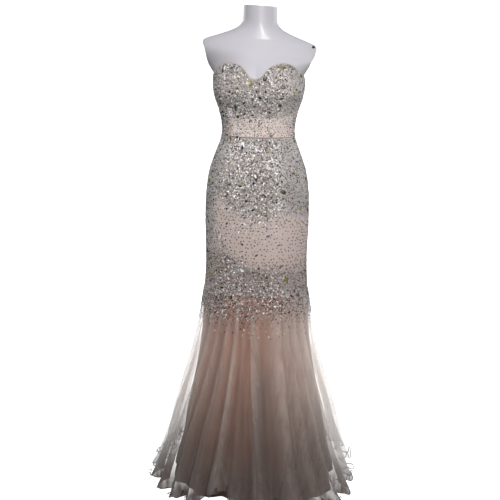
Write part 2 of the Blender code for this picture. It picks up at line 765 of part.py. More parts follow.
def make_stones(panels, finishes, collection):
    """Faceted stones with a flat table, each just proud of the panel it is sewn to."""
    sheets = []
    for panel in panels:
        points = [vert.co.copy() for vert in panel.data.vertices]
        corners = [list(face.vertices) for face in panel.data.polygons]
        sheets.append(BVHTree.FromPolygons(points, corners))
    for number, stone in enumerate(STONES, 1):
        seat = body_point(stone.angle, stone.height)
        outward = outward_of(body_point, stone.angle, stone.height)
        upward = (Vector((0, 0, 1)) - outward * outward.z).normalized()
        frame = Matrix((upward.cross(outward), upward, outward)).transposed()
        frame = frame @ Matrix.Rotation(math.radians(-stone.turn), 3, "Z")
        name = f"stone_{number:02d}"
        mesh = bpy.data.meshes.new(name)
        gem = bmesh.new()
        girdle, table = [], []
        for i in range(STONE_SIDES):
            turn = 2 * math.pi * i / STONE_SIDES
            x, y = math.sin(turn) * stone.width / 2, math.cos(turn) * stone.length / 2
            girdle.append(gem.verts.new((x, y, 0)))
            table.append(gem.verts.new((x * STONE_TABLE, y * STONE_TABLE, STONE_HEIGHT)))
        gem.faces.new(girdle)
        gem.faces.new(list(reversed(table)))
        for i in range(STONE_SIDES):
            j = (i + 1) % STONE_SIDES
            gem.faces.new((girdle[i], table[i], table[j], girdle[j]))
        bmesh.ops.recalc_face_normals(gem, faces=gem.faces)
        gem.to_mesh(mesh)
        gem.free()
        made = add_object(name, mesh, finishes[stone.tint], collection)
        lift = highest_under(sheets, frame, seat, stone) + STONE_GAP
        made.matrix_world = Matrix.Translation(seat + outward * lift) @ frame.to_4x4()


def main():
    clear_scene()
    collection = bpy.data.collections.new("evening_gown")
    bpy.context.scene.collection.children.link(collection)
    tools = bpy.data.collections.new("cutters")
    bpy.context.scene.collection.children.link(tools)
    beaded = material("beaded_net", (0.47, 0.41, 0.38), 0.45, 0.1, 0.3)
    net = material("skirt_net", (0.42, 0.37, 0.34), 0.8, 0.0, 0.4)
    satin = material("lining_satin", (0.52, 0.33, 0.28), 0.4, 0.0, 0.2)
    shell = material("form_plastic", (0.78, 0.77, 0.80), 0.25)
    metal = material("stand_metal", (0.55, 0.55, 0.57), 0.3, 0.9)
    coil = material("zip_coil", (0.52, 0.44, 0.40), 0.5)
    gems = {
        CLEAR: material("stone_clear", (0.80, 0.80, 0.82), 0.08, 0.4),
        CITRINE: material("stone_citrine", (0.42, 0.38, 0.10), 0.08, 0.4),
        SMOKE: material("stone_smoke", (0.10, 0.10, 0.09), 0.08, 0.4),
    }
    make_bodice(beaded, collection)
    make_skirt(beaded, collection)
    make_net(net, collection)
    make_lining(satin, collection)
    make_form(shell, collection)
    make_stand(metal, collection)
    make_fitting(metal, collection)
    make_zip(coil, metal, collection, tools)
    beaded_panels = [made for made in collection.objects if made.data.materials[0] == beaded]
    make_stones(beaded_panels, gems, collection)


main()
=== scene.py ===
from collections import namedtuple
from math import radians

import bpy
import numpy as np
from mathutils import Matrix, Vector


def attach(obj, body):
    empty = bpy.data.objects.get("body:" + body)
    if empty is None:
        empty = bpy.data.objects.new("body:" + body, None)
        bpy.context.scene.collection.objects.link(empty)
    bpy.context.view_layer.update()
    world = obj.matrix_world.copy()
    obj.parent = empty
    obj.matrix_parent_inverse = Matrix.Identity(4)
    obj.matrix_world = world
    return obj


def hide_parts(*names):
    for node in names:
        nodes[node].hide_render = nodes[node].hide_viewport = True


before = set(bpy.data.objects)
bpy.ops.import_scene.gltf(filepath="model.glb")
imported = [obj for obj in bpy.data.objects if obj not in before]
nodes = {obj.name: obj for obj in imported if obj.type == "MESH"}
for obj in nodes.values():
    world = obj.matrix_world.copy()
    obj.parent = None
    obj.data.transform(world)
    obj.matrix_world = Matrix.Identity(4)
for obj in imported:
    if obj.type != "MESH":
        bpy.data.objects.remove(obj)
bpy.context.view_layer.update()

# Camera. A long lens stands a little to the right of the gown's front, level with the neck, and
# looks down at it, so the hem runs out of the bottom of the picture as it does in the photograph.
CAMERA_AWAY = 3.0
CAMERA_HEIGHT = 1.48
CAMERA_ROUND = radians(6.0)
CAMERA_PITCH = radians(-13.3)
CAMERA_ROLL = radians(0.9)
PICTURE_WIDTH = 500
FOCAL_PIXELS = 945
CENTRE_COLUMN = 256.5

studio = bpy.context.scene
studio.view_settings.view_transform = "Standard"
camera_data = bpy.data.cameras.new("camera")
camera_data.sensor_width = 36.0
camera_data.lens = FOCAL_PIXELS / PICTURE_WIDTH * camera_data.sensor_width
camera_data.shift_x = 0.5 - CENTRE_COLUMN / PICTURE_WIDTH
camera = bpy.data.objects.new("camera", camera_data)
studio.collection.objects.link(camera)
stand_at = Vector((np.sin(CAMERA_ROUND) * CAMERA_AWAY, -np.cos(CAMERA_ROUND) * CAMERA_AWAY, CAMERA_HEIGHT))
look = Matrix.Rotation(CAMERA_ROUND, 4, "Z") @ Matrix.Rotation(radians(90) + CAMERA_PITCH, 4, "X")
camera.matrix_world = Matrix.Translation(stand_at) @ look @ Matrix.Rotation(CAMERA_ROLL, 4, "Z")
studio.camera = camera


# Studio. A white cove with a pale floor shows behind the gown. The light on the gown comes from a
# soft lamp high to the right of the camera, a small bare one above the lens, two behind the gown,
# and a dim room.
class Wire:
    """A shader socket. Sums, products and powers of wires and numbers add Math nodes."""

    def __init__(self, finish, socket):
        self.finish = finish
        self.socket = socket

    def maths(self, operation, first, second):
        return self.finish.node("Math", {"operation": operation}, {0: first, 1: second})

    def __add__(self, other):
        return self.maths("ADD", self, other)

    def __sub__(self, other):
        return self.maths("SUBTRACT", self, other)

    def __mul__(self, other):
        return self.maths("MULTIPLY", self, other)

    def __pow__(self, other):
        return self.maths("POWER", self, other)

    def __rsub__(self, other):
        return self.maths("SUBTRACT", other, self)

    __radd__ = __add__
    __rmul__ = __mul__


class Finish:
    """A node tree, and the shader that it feeds."""

    def __init__(self, name, constants):
        self.material = bpy.data.materials.new(name)
        self.material.use_nodes = True
        self.tree = self.material.node_tree
        self.shader = self.tree.nodes["Principled BSDF"]
        self.feed(constants)

    def node(self, kind, settings=None, sockets=None, out=0):
        made = self.tree.nodes.new("ShaderNode" + kind)
        for name, value in (settings or {}).items():
            setattr(made, name, value)
        for name, value in (sockets or {}).items():
            self.join(value, made.inputs[name])
        return Wire(self, made.outputs[out])

    def join(self, value, socket):
        if isinstance(value, Wire):
            self.tree.links.new(value.socket, socket)
        elif socket.type == "RGBA":
            socket.default_value = (*value, 1.0)
        else:
            socket.default_value = value

    def feed(self, sockets):
        for name, value in sockets.items():
            self.join(value, self.shader.inputs[name])

    def place(self):
        """Where the point is on the object, in metres."""
        return self.node("TexCoord", out=3)

    def height(self):
        return self.node("SeparateXYZ", sockets={0: self.place()}, out=2)

    def noise(self, size, detail=2.0, stretch=(1.0, 1.0, 1.0)):
        spread = self.node("Mapping", sockets={"Vector": self.place(), "Scale": stretch})
        return self.node("TexNoise", sockets={"Vector": spread, "Scale": 1 / size, "Detail": detail})

    def held(self, name, out=2):
        """A value that the mesh carries at its points."""
        return self.node("Attribute", {"attribute_name": name}, out=out)

    def between(self, value, low, high):
        """0 below low, 1 above high, and smooth in between."""
        settings = {"interpolation_type": "SMOOTHSTEP"}
        return self.node("MapRange", settings, {"Value": value, "From Min": low, "From Max": high})

    def mix(self, share, first, second):
        return self.node("Mix", {"data_type": "RGBA"}, {0: share, 6: first, 7: second}, out=2)

    def bump(self, relief, depth):
        return self.node("Bump", sockets={"Height": relief, "Distance": depth, "Strength": 1.0})


COVE_RADIUS = 9.0
FLOOR_GLOW = 1.3
COVE_GLOW = 1.3

world = bpy.data.worlds.new("dim_room")
studio.world = world
world.use_nodes = True
room = world.node_tree
up = room.nodes.new("ShaderNodeTexCoord")
level = room.nodes.new("ShaderNodeSeparateXYZ")
fade = room.nodes.new("ShaderNodeValToRGB")
room.links.new(up.outputs["Generated"], level.inputs[0])
room.links.new(level.outputs[2], fade.inputs[0])
room.links.new(fade.outputs[0], room.nodes["Background"].inputs[0])
fade.color_ramp.elements[0].color = (0.16, 0.15, 0.15, 1)
fade.color_ramp.elements[1].color = (0.62, 0.62, 0.64, 1)
fade.color_ramp.elements[1].position = 0.8
room.nodes["Background"].inputs[1].default_value = 0.8


def lamp(name, place, aim, size, watts, spread=180.0):
    light = bpy.data.lights.new(name, "AREA")
    light.size = size
    light.energy = watts
    light.spread = radians(spread)
    made = bpy.data.objects.new(name, light)
    studio.collection.objects.link(made)
    made.location = place
    made.rotation_euler = (Vector(aim) - Vector(place)).to_track_quat("-Z", "Y").to_euler()


lamp("soft_lamp", (0.9, -2.7, 2.3), (0, 0, 1.20), 0.45, 13, 110)
lamp("bare_lamp", (0.42, -2.85, 1.95), (0, 0, 1.25), 0.06, 2.4, 70)
lamp("back_lamp_left", (-2.4, 2.2, 1.9), (0, 0, 0.9), 1.2, 22)
lamp("back_lamp_right", (2.4, 2.2, 1.9), (0, 0, 0.9), 1.2, 22)

white = Finish("cove_white", {"Base Color": (0.9, 0.9, 0.9), "Roughness": 0.9, "Specular IOR Level": 0.0})
white.feed({"Emission Color": (1, 1, 1), "Emission Strength": COVE_GLOW})
pale = Finish("floor_white", {"Base Color": (0.8, 0.8, 0.8), "Roughness": 0.9, "Specular IOR Level": 0.0})
pale.feed({"Emission Color": (1, 1, 1), "Emission Strength": FLOOR_GLOW})
bpy.ops.mesh.primitive_uv_sphere_add(segments=48, ring_count=24, radius=COVE_RADIUS)
cove = bpy.context.object
cove.name = "cove"
bpy.ops.mesh.primitive_circle_add(vertices=64, radius=COVE_RADIUS, fill_type="NGON")
floor = bpy.context.object
floor.name = "floor"
for backdrop, finish in ((cove, white), (floor, pale)):
    backdrop.data.materials.append(finish.material)
    backdrop.visible_diffuse = False
    backdrop.visible_glossy = False
    backdrop.visible_shadow = False


# Stand. A turned steel base lies on the floor under the skirt, and a steel pole rises from its
# collar to carry the torso. The stud near the shoulder's tip is a darker steel.
def brushed(name, colour, roughness):
    steel = Finish(name, {"Metallic": 1.0})
    grain = steel.noise(0.004, 3.0, (1.0, 1.0, 9.0))
    wear = steel.between(steel.noise(0.05), 0.35, 0.7)
    steel.feed({
        "Base Color": steel.mix(wear * 0.5, colour, tuple(c * 0.7 for c in colour)),
        "Roughness": grain * 0.2 + roughness,
        "Normal": steel.bump(grain, 0.0002),
    })
    return steel.material


def refinish(name, material):
    """Gives a CAD solid that still shows its finish."""
    nodes[name].data.materials.clear()
    nodes[name].data.materials.append(material)


for name in ("stand_base", "stand_pole"):
    refinish(name, brushed("steel_" + name, (0.62, 0.62, 0.64), 0.25))
refinish("arm_fitting", brushed("steel_fitting", (0.10, 0.10, 0.13), 0.35))

# Dress form. A glossy white moulded shell with no head, arms or legs: a flat-topped neck, flat
# slanting arm faces, and a torso that stays just inside the gown down to the hips.
Section = namedtuple("Section", "height half front back power")
BODY = (
    Section(0.640, 0.1705, 0.128, 0.130, 2.05),
    Section(0.669, 0.1665, 0.121, 0.122, 2.10),
    Section(0.737, 0.1635, 0.114, 0.115, 2.15),
    Section(0.804, 0.1645, 0.110, 0.117, 2.15),
    Section(0.871, 0.1660, 0.107, 0.122, 2.15),
    Section(0.936, 0.1650, 0.104, 0.124, 2.15),
    Section(0.985, 0.1615, 0.101, 0.119, 2.15),
    Section(1.034, 0.1535, 0.096, 0.109, 2.15),
    Section(1.066, 0.1430, 0.091, 0.099, 2.15),
    Section(1.098, 0.1315, 0.087, 0.089, 2.15),
    Section(1.130, 0.1190, 0.084, 0.081, 2.15),
    Section(1.161, 0.1140, 0.083, 0.078, 2.15),
    Section(1.193, 0.1165, 0.085, 0.080, 2.15),
    Section(1.224, 0.1240, 0.089, 0.083, 2.15),
    Section(1.256, 0.1340, 0.094, 0.086, 2.15),
    Section(1.290, 0.1410, 0.098, 0.088, 2.15),
    Section(1.330, 0.1430, 0.100, 0.089, 2.10),
    Section(1.350, 0.1470, 0.099, 0.089, 2.05),
    Section(1.380, 0.1520, 0.097, 0.089, 2.00),
)
FormRing = namedtuple("FormRing", "height half reach front back")
FORM = (
    FormRing(1.318, 0.1370, 0.1370, 0.094, 0.084),
    FormRing(1.332, 0.1385, 0.1385, 0.092, 0.084),
    FormRing(1.345, 0.1460, 0.1485, 0.090, 0.086),
    FormRing(1.360, 0.1545, 0.1600, 0.086, 0.088),
    FormRing(1.380, 0.1625, 0.1770, 0.080, 0.089),
    FormRing(1.400, 0.1695, 0.1870, 0.073, 0.086),
    FormRing(1.415, 0.1745, 0.1860, 0.068, 0.081),
    FormRing(1.425, 0.1770, 0.1810, 0.064, 0.077),
    FormRing(1.431, 0.1745, 0.1750, 0.062, 0.074),
    FormRing(1.437, 0.1650, 0.1650, 0.060, 0.072),
    FormRing(1.443, 0.1490, 0.1490, 0.058, 0.069),
    FormRing(1.450, 0.1290, 0.1290, 0.057, 0.067),
    FormRing(1.458, 0.1070, 0.1070, 0.056, 0.065),
    FormRing(1.466, 0.0880, 0.0880, 0.055, 0.063),
    FormRing(1.474, 0.0720, 0.0720, 0.054, 0.061),
    FormRing(1.484, 0.0600, 0.0600, 0.053, 0.059),
    FormRing(1.498, 0.0535, 0.0535, 0.0525, 0.057),
    FormRing(1.543, 0.0515, 0.0515, 0.052, 0.056),
)
FORM_POWER = 1.9
ROUNDER = 2.4
FORM_BUST = 0.98
FORM_CLEARANCE = 0.0014
FORM_FOOT = 0.792
FORM_FOOT_ROUND = 0.024
FORM_TURN = 9.0
FORM_TILT = radians(2.8)
TURN_FROM = 1.362
TURN_TO = 1.408
FORM_ROWS = 90
FORM_COLUMNS = 200
CUP_ANGLE = 36.0
CUP_SPREAD = 29.0
CUP_HEIGHT = 1.286
CUP_ABOVE = 0.062
CUP_BELOW = 0.036
CUP_SWELL = 0.030
BODICE_WALL = 0.0020


def read(table, column, places, key="height"):
    """One column of a table at these places, on a smooth curve through its rows."""
    known = np.array([getattr(row, key) for row in table], float)
    values = np.array([getattr(row, column) for row in table], float)
    places = np.clip(places, known[0], known[-1])
    before = np.maximum(np.arange(len(known)) - 1, 0)
    after = np.minimum(np.arange(len(known)) + 1, len(known) - 1)
    slopes = (values[after] - values[before]) / (known[after] - known[before])
    i = np.clip(np.searchsorted(known, places, side="right") - 1, 0, len(known) - 2)
    span = known[i + 1] - known[i]
    t = (places - known[i]) / span
    start = (2 * t**3 - 3 * t**2 + 1) * values[i] + (t**3 - 2 * t**2 + t) * span * slopes[i]
    return start + (3 * t**2 - 2 * t**3) * values[i + 1] + (t**3 - t**2) * span * slopes[i + 1]


def ease(t):
    t = np.clip(t, 0.0, 1.0)
    return t * t * (3 - 2 * t)


def wrapped(angle):
    """The angle from the front, from -180 to 180."""
    return (np.asarray(angle) + 180.0) % 360.0 - 180.0


def ring_reach(angle, half, depth, power):
    """How far a squared ellipse reaches from the axis at this angle."""
    across = np.abs(np.sin(np.radians(angle))) / half
    along = np.abs(np.cos(np.radians(angle))) / depth
    return (across**power + along**power) ** (-1 / power)


def table_reach(table, angle, height):
    front = np.cos(np.radians(angle)) > 0
    depth = np.where(front, read(table, "front", height), read(table, "back", height))
    power = read(table, "power", height)
    power = np.where(front & (wrapped(angle) >= 0), power, np.minimum(power, ROUNDER))
    return ring_reach(angle, read(table, "half", height), depth, power)


def at(angle, reach, height):
    turn = np.radians(angle)
    return np.stack(np.broadcast_arrays(reach * np.sin(turn), -reach * np.cos(turn), height), axis=-1)


def cup_swell(angle, height):
    aside = (np.abs(wrapped(angle)) - CUP_ANGLE) / CUP_SPREAD
    rise = height - CUP_HEIGHT
    up = rise / np.where(rise > 0, CUP_ABOVE, CUP_BELOW)
    return CUP_SWELL * np.exp(-aside * aside - up * up)


def fitted(angle, height):
    """The gown's outside before any crease, from the knee seam to the neckline."""
    return at(angle, table_reach(BODY, angle, height) + cup_swell(angle, height), height)


def outward_of(place, across, height, step=0.5):
    """The way out from a surface, square to it."""
    around = place(across + step, height) - place(across - step, height)
    upward = place(across, height + 0.002) - place(across, height - 0.002)
    way = np.cross(around, upward)
    return way / np.linalg.norm(way, axis=-1, keepdims=True)


def form_skin(angle, height):
    swell = cup_swell(angle, height) * FORM_BUST
    under = table_reach(BODY, angle, height) + swell
    slant = np.sum(outward_of(fitted, angle, height) * at(angle, 1.0, 0.0), axis=-1)
    under -= (BODICE_WALL + FORM_CLEARANCE) / slant
    front = np.cos(np.radians(angle)) > 0
    depth = np.where(front, read(FORM, "front", height), read(FORM, "back", height))
    own = ring_reach(angle, read(FORM, "reach", height), depth, FORM_POWER) + swell
    across = np.maximum(np.abs(np.sin(np.radians(angle))), 1e-6)
    own = np.minimum(own, read(FORM, "half", height) / across)
    blend = ease((height - FORM[0].height) / (FORM[1].height - FORM[0].height))
    foot = np.sqrt(np.clip((height - FORM_FOOT) / FORM_FOOT_ROUND, 0.0, 1.0))
    share = ease((height - TURN_FROM) / (TURN_TO - TURN_FROM))
    reach = (under + (own - under) * blend) * (0.70 + 0.30 * foot)
    point = at(angle + FORM_TURN * share, reach, height)
    point[..., 2] -= point[..., 0] * np.tan(FORM_TILT) * share
    return point


def mesh_from(name, points, faces, smooth=True):
    """A mesh from arrays: a row of points, and a row of corners for each face."""
    mesh = bpy.data.meshes.new(name)
    points = np.ascontiguousarray(points, np.float32).reshape(-1, 3)
    faces = np.ascontiguousarray(faces, np.int32)
    mesh.vertices.add(len(points))
    mesh.vertices.foreach_set("co", points.ravel())
    mesh.loops.add(faces.size)
    mesh.loops.foreach_set("vertex_index", faces.ravel())
    mesh.polygons.add(len(faces))
    mesh.polygons.foreach_set("loop_start", np.arange(0, faces.size, faces.shape[1], dtype=np.int32))
    mesh.update(calc_edges=True)
    if smooth:
        mesh.shade_smooth()
    return mesh


def grid_faces(rows, columns, closed=False):
    """Quads over a grid of points in rows. Closed joins the last column to the first."""
    across = np.arange(columns if closed else columns - 1)
    row, column = np.meshgrid(np.arange(rows - 1), across, indexing="ij")
    beside = (column + 1) % columns
    corners = (row * columns + column, row * columns + beside, (row + 1) * columns + beside)
    return np.stack([*corners, (row + 1) * columns + column], axis=-1).reshape(-1, 4)


def piece(name, mesh, material, replaced=(), body="gown"):
    """A shown piece that rides on a body, takes a finish and stands for CAD nodes."""
    made = bpy.data.objects.new(name, mesh)
    studio.collection.objects.link(made)
    mesh.materials.append(material)
    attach(made, body)
    if replaced:
        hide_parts(*replaced)
    return made


def capped(points, faces, rows, columns):
    """The rings with a fan over each open end."""
    points = np.concatenate([points.reshape(-1, 3), points[:1].mean(axis=1), points[-1:].mean(axis=1)])
    ring = np.arange(columns)
    low, high = rows * columns, rows * columns + 1
    fans = [(low, (i + 1) % columns, i) for i in ring]
    top = (rows - 1) * columns
    fans += [(high, top + i, top + (i + 1) % columns) for i in ring]
    sides = np.concatenate([faces[:, [0, 1, 2]], faces[:, [0, 2, 3]]])
    return points, np.concatenate([sides, np.array(fans)])


shell = Finish("form_gloss", {"Roughness": 0.42, "Coat Weight": 0.16, "Coat Roughness": 0.16})
speck = shell.noise(0.11, 3.0)
shell.feed({
    "Base Color": shell.mix(speck, (0.660, 0.645, 0.690), (0.700, 0.690, 0.730)),
    "Roughness": shell.noise(0.03) * 0.10 + 0.38,
    "Normal": shell.bump(shell.noise(0.05, 1.0), 0.0006),
})
rise = np.linspace(0.0, 1.0, FORM_ROWS)
form_heights = np.sort(np.concatenate([FORM_FOOT + (1.543 - FORM_FOOT) * rise, 1.418 + 0.06 * rise[::3]]))
form_angles = np.linspace(-180.0, 180.0, FORM_COLUMNS, endpoint=False)
skin = form_skin(form_angles[None, :], form_heights[:, None])
skin_faces = grid_faces(len(form_heights), FORM_COLUMNS, closed=True)
skin, skin_faces = capped(skin, skin_faces, len(form_heights), FORM_COLUMNS)
torso_mesh = mesh_from("dress_form", skin, skin_faces)
torso_mesh.set_sharp_from_angle(angle=radians(24))
piece("dress_form", torso_mesh, shell.material, ["form_torso"])

# Lining of the flare. Dusty pink satin in two gores hangs inside the net from the knee seam, a
# little narrower than the net, in soft waves of its own, and shows through the net all round.
FlareRing = namedtuple("FlareRing", "height half front back power fold")
FLARE = (
    FlareRing(0.000, 0.3400, 0.345, 0.350, 3.70, 1.06),
    FlareRing(0.035, 0.3310, 0.333, 0.339, 3.40, 1.00),
    FlareRing(0.070, 0.3190, 0.318, 0.326, 3.00, 0.95),
    FlareRing(0.140, 0.2950, 0.290, 0.300, 2.60, 0.88),
    FlareRing(0.212, 0.2790, 0.267, 0.277, 2.38, 0.79),
    FlareRing(0.284, 0.2585, 0.241, 0.251, 2.28, 0.70),
    FlareRing(0.356, 0.2370, 0.214, 0.223, 2.18, 0.58),
    FlareRing(0.427, 0.2160, 0.188, 0.196, 2.10, 0.45),
    FlareRing(0.497, 0.1985, 0.165, 0.170, 2.05, 0.31),
    FlareRing(0.567, 0.1845, 0.146, 0.149, 2.05, 0.15),
    FlareRing(0.610, 0.1772, 0.136, 0.138, 2.05, 0.06),
    FlareRing(0.650, 0.1700, 0.126, 0.128, 2.05, 0.00),
)
FLARE_SEAM = 0.648
SEAM_GAP = 0.0003
LINING_WALL = 0.0010
LINING_HEM = 0.014
LINING_WAVES = 12
LINING_INSET = 0.062
LINING_DEPTH = 0.022
LINING_TOP_GAP = 0.0015
LINING_CREASES = 31
LINING_CREASE = 0.0035
LINING_ROWS = 42
LINING_COLUMNS = 170
HOLLOW_ANGLE = 13.0
HOLLOW_SPREAD = 7.5
SIDE_LIGHT = 0.8
SIDE_LIGHT_ANGLE = 88
SIDE_LIGHT_SPREAD = 24


def lining(angle, height):
    share = read(FLARE, "fold", height)
    wave = (1 - np.cos(np.radians(LINING_WAVES * angle))) / 2
    crease = np.sin(np.radians(LINING_CREASES * angle) + 3 * np.sin(np.radians(angle * 2)))
    inset = LINING_TOP_GAP + share * (LINING_INSET + LINING_DEPTH * wave + LINING_CREASE * crease)
    return at(angle, table_reach(FLARE, angle, height) - inset, height)


def cloth(name, columns, rows, place, wall, material, replaced=()):
    """A cloth piece: a grid of points over its columns and rows, with its wall on the inside."""
    points = place(columns[None, :], rows[:, None])
    mesh = mesh_from(name, points, grid_faces(len(rows), len(columns)))
    made = piece(name, mesh, material, replaced)
    if wall:
        thicken = made.modifiers.new("wall", "SOLIDIFY")
        thicken.thickness = wall
        thicken.offset = -1.0
    return made


def carry(made, name, values):
    """Gives the mesh a value at each of its points, which its material reads."""
    holder = made.data.attributes.new(name, "FLOAT", "POINT")
    holder.data.foreach_set("value", np.ascontiguousarray(values, np.float32).ravel())


def hollow_shade(angle, height):
    """How dark the deep hollow beside the front's middle is."""
    aside = (wrapped(angle) - HOLLOW_ANGLE) / HOLLOW_SPREAD
    return np.exp(-aside * aside) * ease((0.62 - height) / 0.34)


def side_light(angle):
    """How much light comes round the lining's sides through the single net beside it."""
    aside = (np.abs(wrapped(angle)) - SIDE_LIGHT_ANGLE) / SIDE_LIGHT_SPREAD
    return SIDE_LIGHT * np.exp(-aside * aside)


satin = Finish("dusty_pink_satin", {"Roughness": 0.5, "Sheen Weight": 0.25, "Specular IOR Level": 0.3})
# Painted shade: the satin, its sides too, is painted darker towards the hem, where less light reaches.
painted_hem_falloff = satin.between(satin.height(), 0.06, 0.61)
pink = satin.mix(painted_hem_falloff, (0.205, 0.112, 0.085), (0.60, 0.295, 0.21))
streak = satin.between(satin.noise(0.03, 2.0, (1.0, 1.0, 0.06)), 0.35, 0.7)
pink = satin.mix(streak * 0.35, pink, (0.13, 0.085, 0.07))
side_tone = satin.mix(painted_hem_falloff, (0.24, 0.205, 0.185), (0.58, 0.45, 0.395))
pink = satin.mix(satin.held("side_light"), pink, side_tone)
satin.feed({
    "Base Color": satin.mix(satin.held("shade") * 0.72, pink, (0.10, 0.07, 0.062)),
    "Normal": satin.bump(satin.noise(0.0008, 1.0, (1.0, 1.0, 0.2)), 0.0002),
})
lining_rows = np.linspace(LINING_HEM, FLARE_SEAM - SEAM_GAP, LINING_ROWS)
for name, start in (("front", -90.0), ("back", 90.0)):
    columns = np.linspace(start + 0.1, start + 179.9, LINING_COLUMNS)
    gore = cloth(f"lining_{name}_gore", columns, lining_rows, lining, LINING_WALL, satin.material,
                 [f"lining_{name}"])
    carry(gore, "shade", hollow_shade(columns[None, :], lining_rows[:, None]))
    carry(gore, "side_light", side_light(columns[None, :] + 0 * lining_rows[:, None]))

# Net flare. Soft grey-beige net in four gores hangs from the knee seam in uneven folds, each gore
# cut from the bottom of one valley to another. Its edge is rolled over line, which makes it curl.
NetFold = namedtuple("NetFold", "at_seam at_hem depth gather veil")
NET_FOLDS = (
    NetFold(-172, -171, 0.040, 0.7, 0.3),
    NetFold(-156, -157, 0.042, 0.5, 0.3),
    NetFold(-141, -142, 0.038, 0.8, 0.3),
    NetFold(-127, -126, 0.044, 0.5, 0.3),
    NetFold(-111, -112, 0.040, 0.6, 0.3),
    NetFold(-96, -97, 0.042, 0.7, 0.3),
    NetFold(-81, -82, 0.036, 0.6, 0.3),
    NetFold(-66, -67, 0.044, 0.75, 0.6),
    NetFold(-52, -53, 0.034, 0.65, 0.45),
    NetFold(-41, -40, 0.030, 0.6, 0.3),
    NetFold(-29, -29, 0.034, 0.5, 0.25),
    NetFold(-17, -16, 0.030, 0.85, 0.15),
    NetFold(-8, -4, 0.028, 0.32, 0.12),
    NetFold(1, 9, 0.052, 0.68, 0.06),
    NetFold(35, 27, 0.034, 0.9, 0.55),
    NetFold(45, 39, 0.030, 0.85, 0.8),
    NetFold(54, 50, 0.036, 0.95, 0.8),
    NetFold(65, 63, 0.038, 1.0, 0.85),
    NetFold(77, 78, 0.040, 0.9, 0.6),
    NetFold(91, 93, 0.040, 0.6, 0.3),
    NetFold(107, 108, 0.044, 0.5, 0.3),
    NetFold(123, 124, 0.040, 0.7, 0.3),
    NetFold(139, 140, 0.042, 0.5, 0.3),
    NetFold(155, 156, 0.044, 0.8, 0.3),
)
NET_HEM = 0.012
HEM_REACH = 0.006
HEM_LIFT = 0.006
HEM_WAVE_TOP = 0.066
CAUGHT_ANGLE = -13.0
CAUGHT_SPREAD = 8.0
CAUGHT_LIFT = 0.052
CAUGHT_TOP = 0.300
FOLD_SHARPNESS = 0.80
HEM_ROUNDNESS = 1.9
CURLS_A_FOLD = 2
CURL_TOP = 0.085
CURL_REACH = 0.0028
CURL_LIFT = 0.003
CRINKLES = ((55, 0.0022), (77, 0.0016), (131, 0.0008))
SHEER_ANGLE = 92.0
SHEER_SPREAD = 21.0
SHEER_LOSS = 0.25
NET_GLOW = 0.36
HEM_BUNCH = 0.97
HEM_SIDE = 0.22
HEM_BUNCH_TOP = 0.19
NET_COLUMNS = 30
NET_ROWS = 66


def net_angle(column, height):
    """The angle of a column of the net, counted in folds, at this height."""
    fall = ease((FLARE_SEAM - height) / (FLARE_SEAM - NET_HEM))
    at_seam = np.array([row.at_seam for row in NET_FOLDS] + [NET_FOLDS[0].at_seam + 360])
    at_hem = np.array([row.at_hem for row in NET_FOLDS] + [NET_FOLDS[0].at_hem + 360])
    turns, fold = np.divmod(np.floor(column).astype(int), len(NET_FOLDS))
    share = column - np.floor(column)
    first = at_seam[fold] + (at_hem[fold] - at_seam[fold]) * fall
    last = at_seam[fold + 1] + (at_hem[fold + 1] - at_seam[fold + 1]) * fall
    return 360 * turns + first + (last - first) * share


def fold_value(column, name):
    """A fold's own number, eased from one fold's top to the next."""
    values = np.array([getattr(row, name) for row in NET_FOLDS])
    fold = np.floor(column).astype(int)
    share = ease(column - np.floor(column))
    return values[fold % len(values)] * (1 - share) + values[(fold + 1) % len(values)] * share


def net(column, height, curls=1.0):
    """The net's outside: fold tops on the outline, valleys between, and the curling hem."""
    column, height = np.broadcast_arrays(np.asarray(column, float), np.asarray(height, float))
    angle = net_angle(column, height)
    wave = 2 * np.pi * column
    depths = np.array([row.depth for row in NET_FOLDS])
    depth = depths[np.floor(column).astype(int) % len(NET_FOLDS)]
    share = read(FLARE, "fold", height)
    roundness = HEM_ROUNDNESS + (FOLD_SHARPNESS - HEM_ROUNDNESS) * ease(height / 0.30)
    valley = share * depth * ((1 - np.cos(wave)) / 2) ** roundness
    crinkle = sum(
        size * np.sin(wave * count / len(NET_FOLDS) + 2 * np.sin(wave / len(NET_FOLDS) * 3 + 9 * height))
        for count, size in CRINKLES
    )
    hem = ease((HEM_WAVE_TOP - height) / (HEM_WAVE_TOP - NET_HEM))
    curl = curls * ease((CURL_TOP - height) / (CURL_TOP - NET_HEM)) ** 2
    turn = wave * CURLS_A_FOLD + 1.3 * np.sin(wave)
    outward = hem * HEM_REACH * np.sin(wave + 0.9) + curl * CURL_REACH * np.cos(turn)
    lift = hem * HEM_LIFT * (1 - np.cos(wave + 0.5)) / 2 + curl * CURL_LIFT * (1 + np.sin(turn))
    aside = (wrapped(angle) - CAUGHT_ANGLE) / CAUGHT_SPREAD
    caught = CAUGHT_LIFT * np.exp(-aside * aside) * ease((CAUGHT_TOP - height) / CAUGHT_TOP)
    reach = table_reach(FLARE, angle, height) - valley - share * crinkle + outward
    return at(angle, reach, height + lift + caught)


def gathered(column, height):
    """How much net lies together: most along the fold tops, least in the valleys."""
    top = ((1 + np.cos(2 * np.pi * column)) / 2) ** 0.9
    valley = fold_value(column, "veil")
    laid = valley + (fold_value(column, "gather") - valley) * top
    return laid * (0.55 + 0.45 * ease((FLARE_SEAM - height) / 0.10))


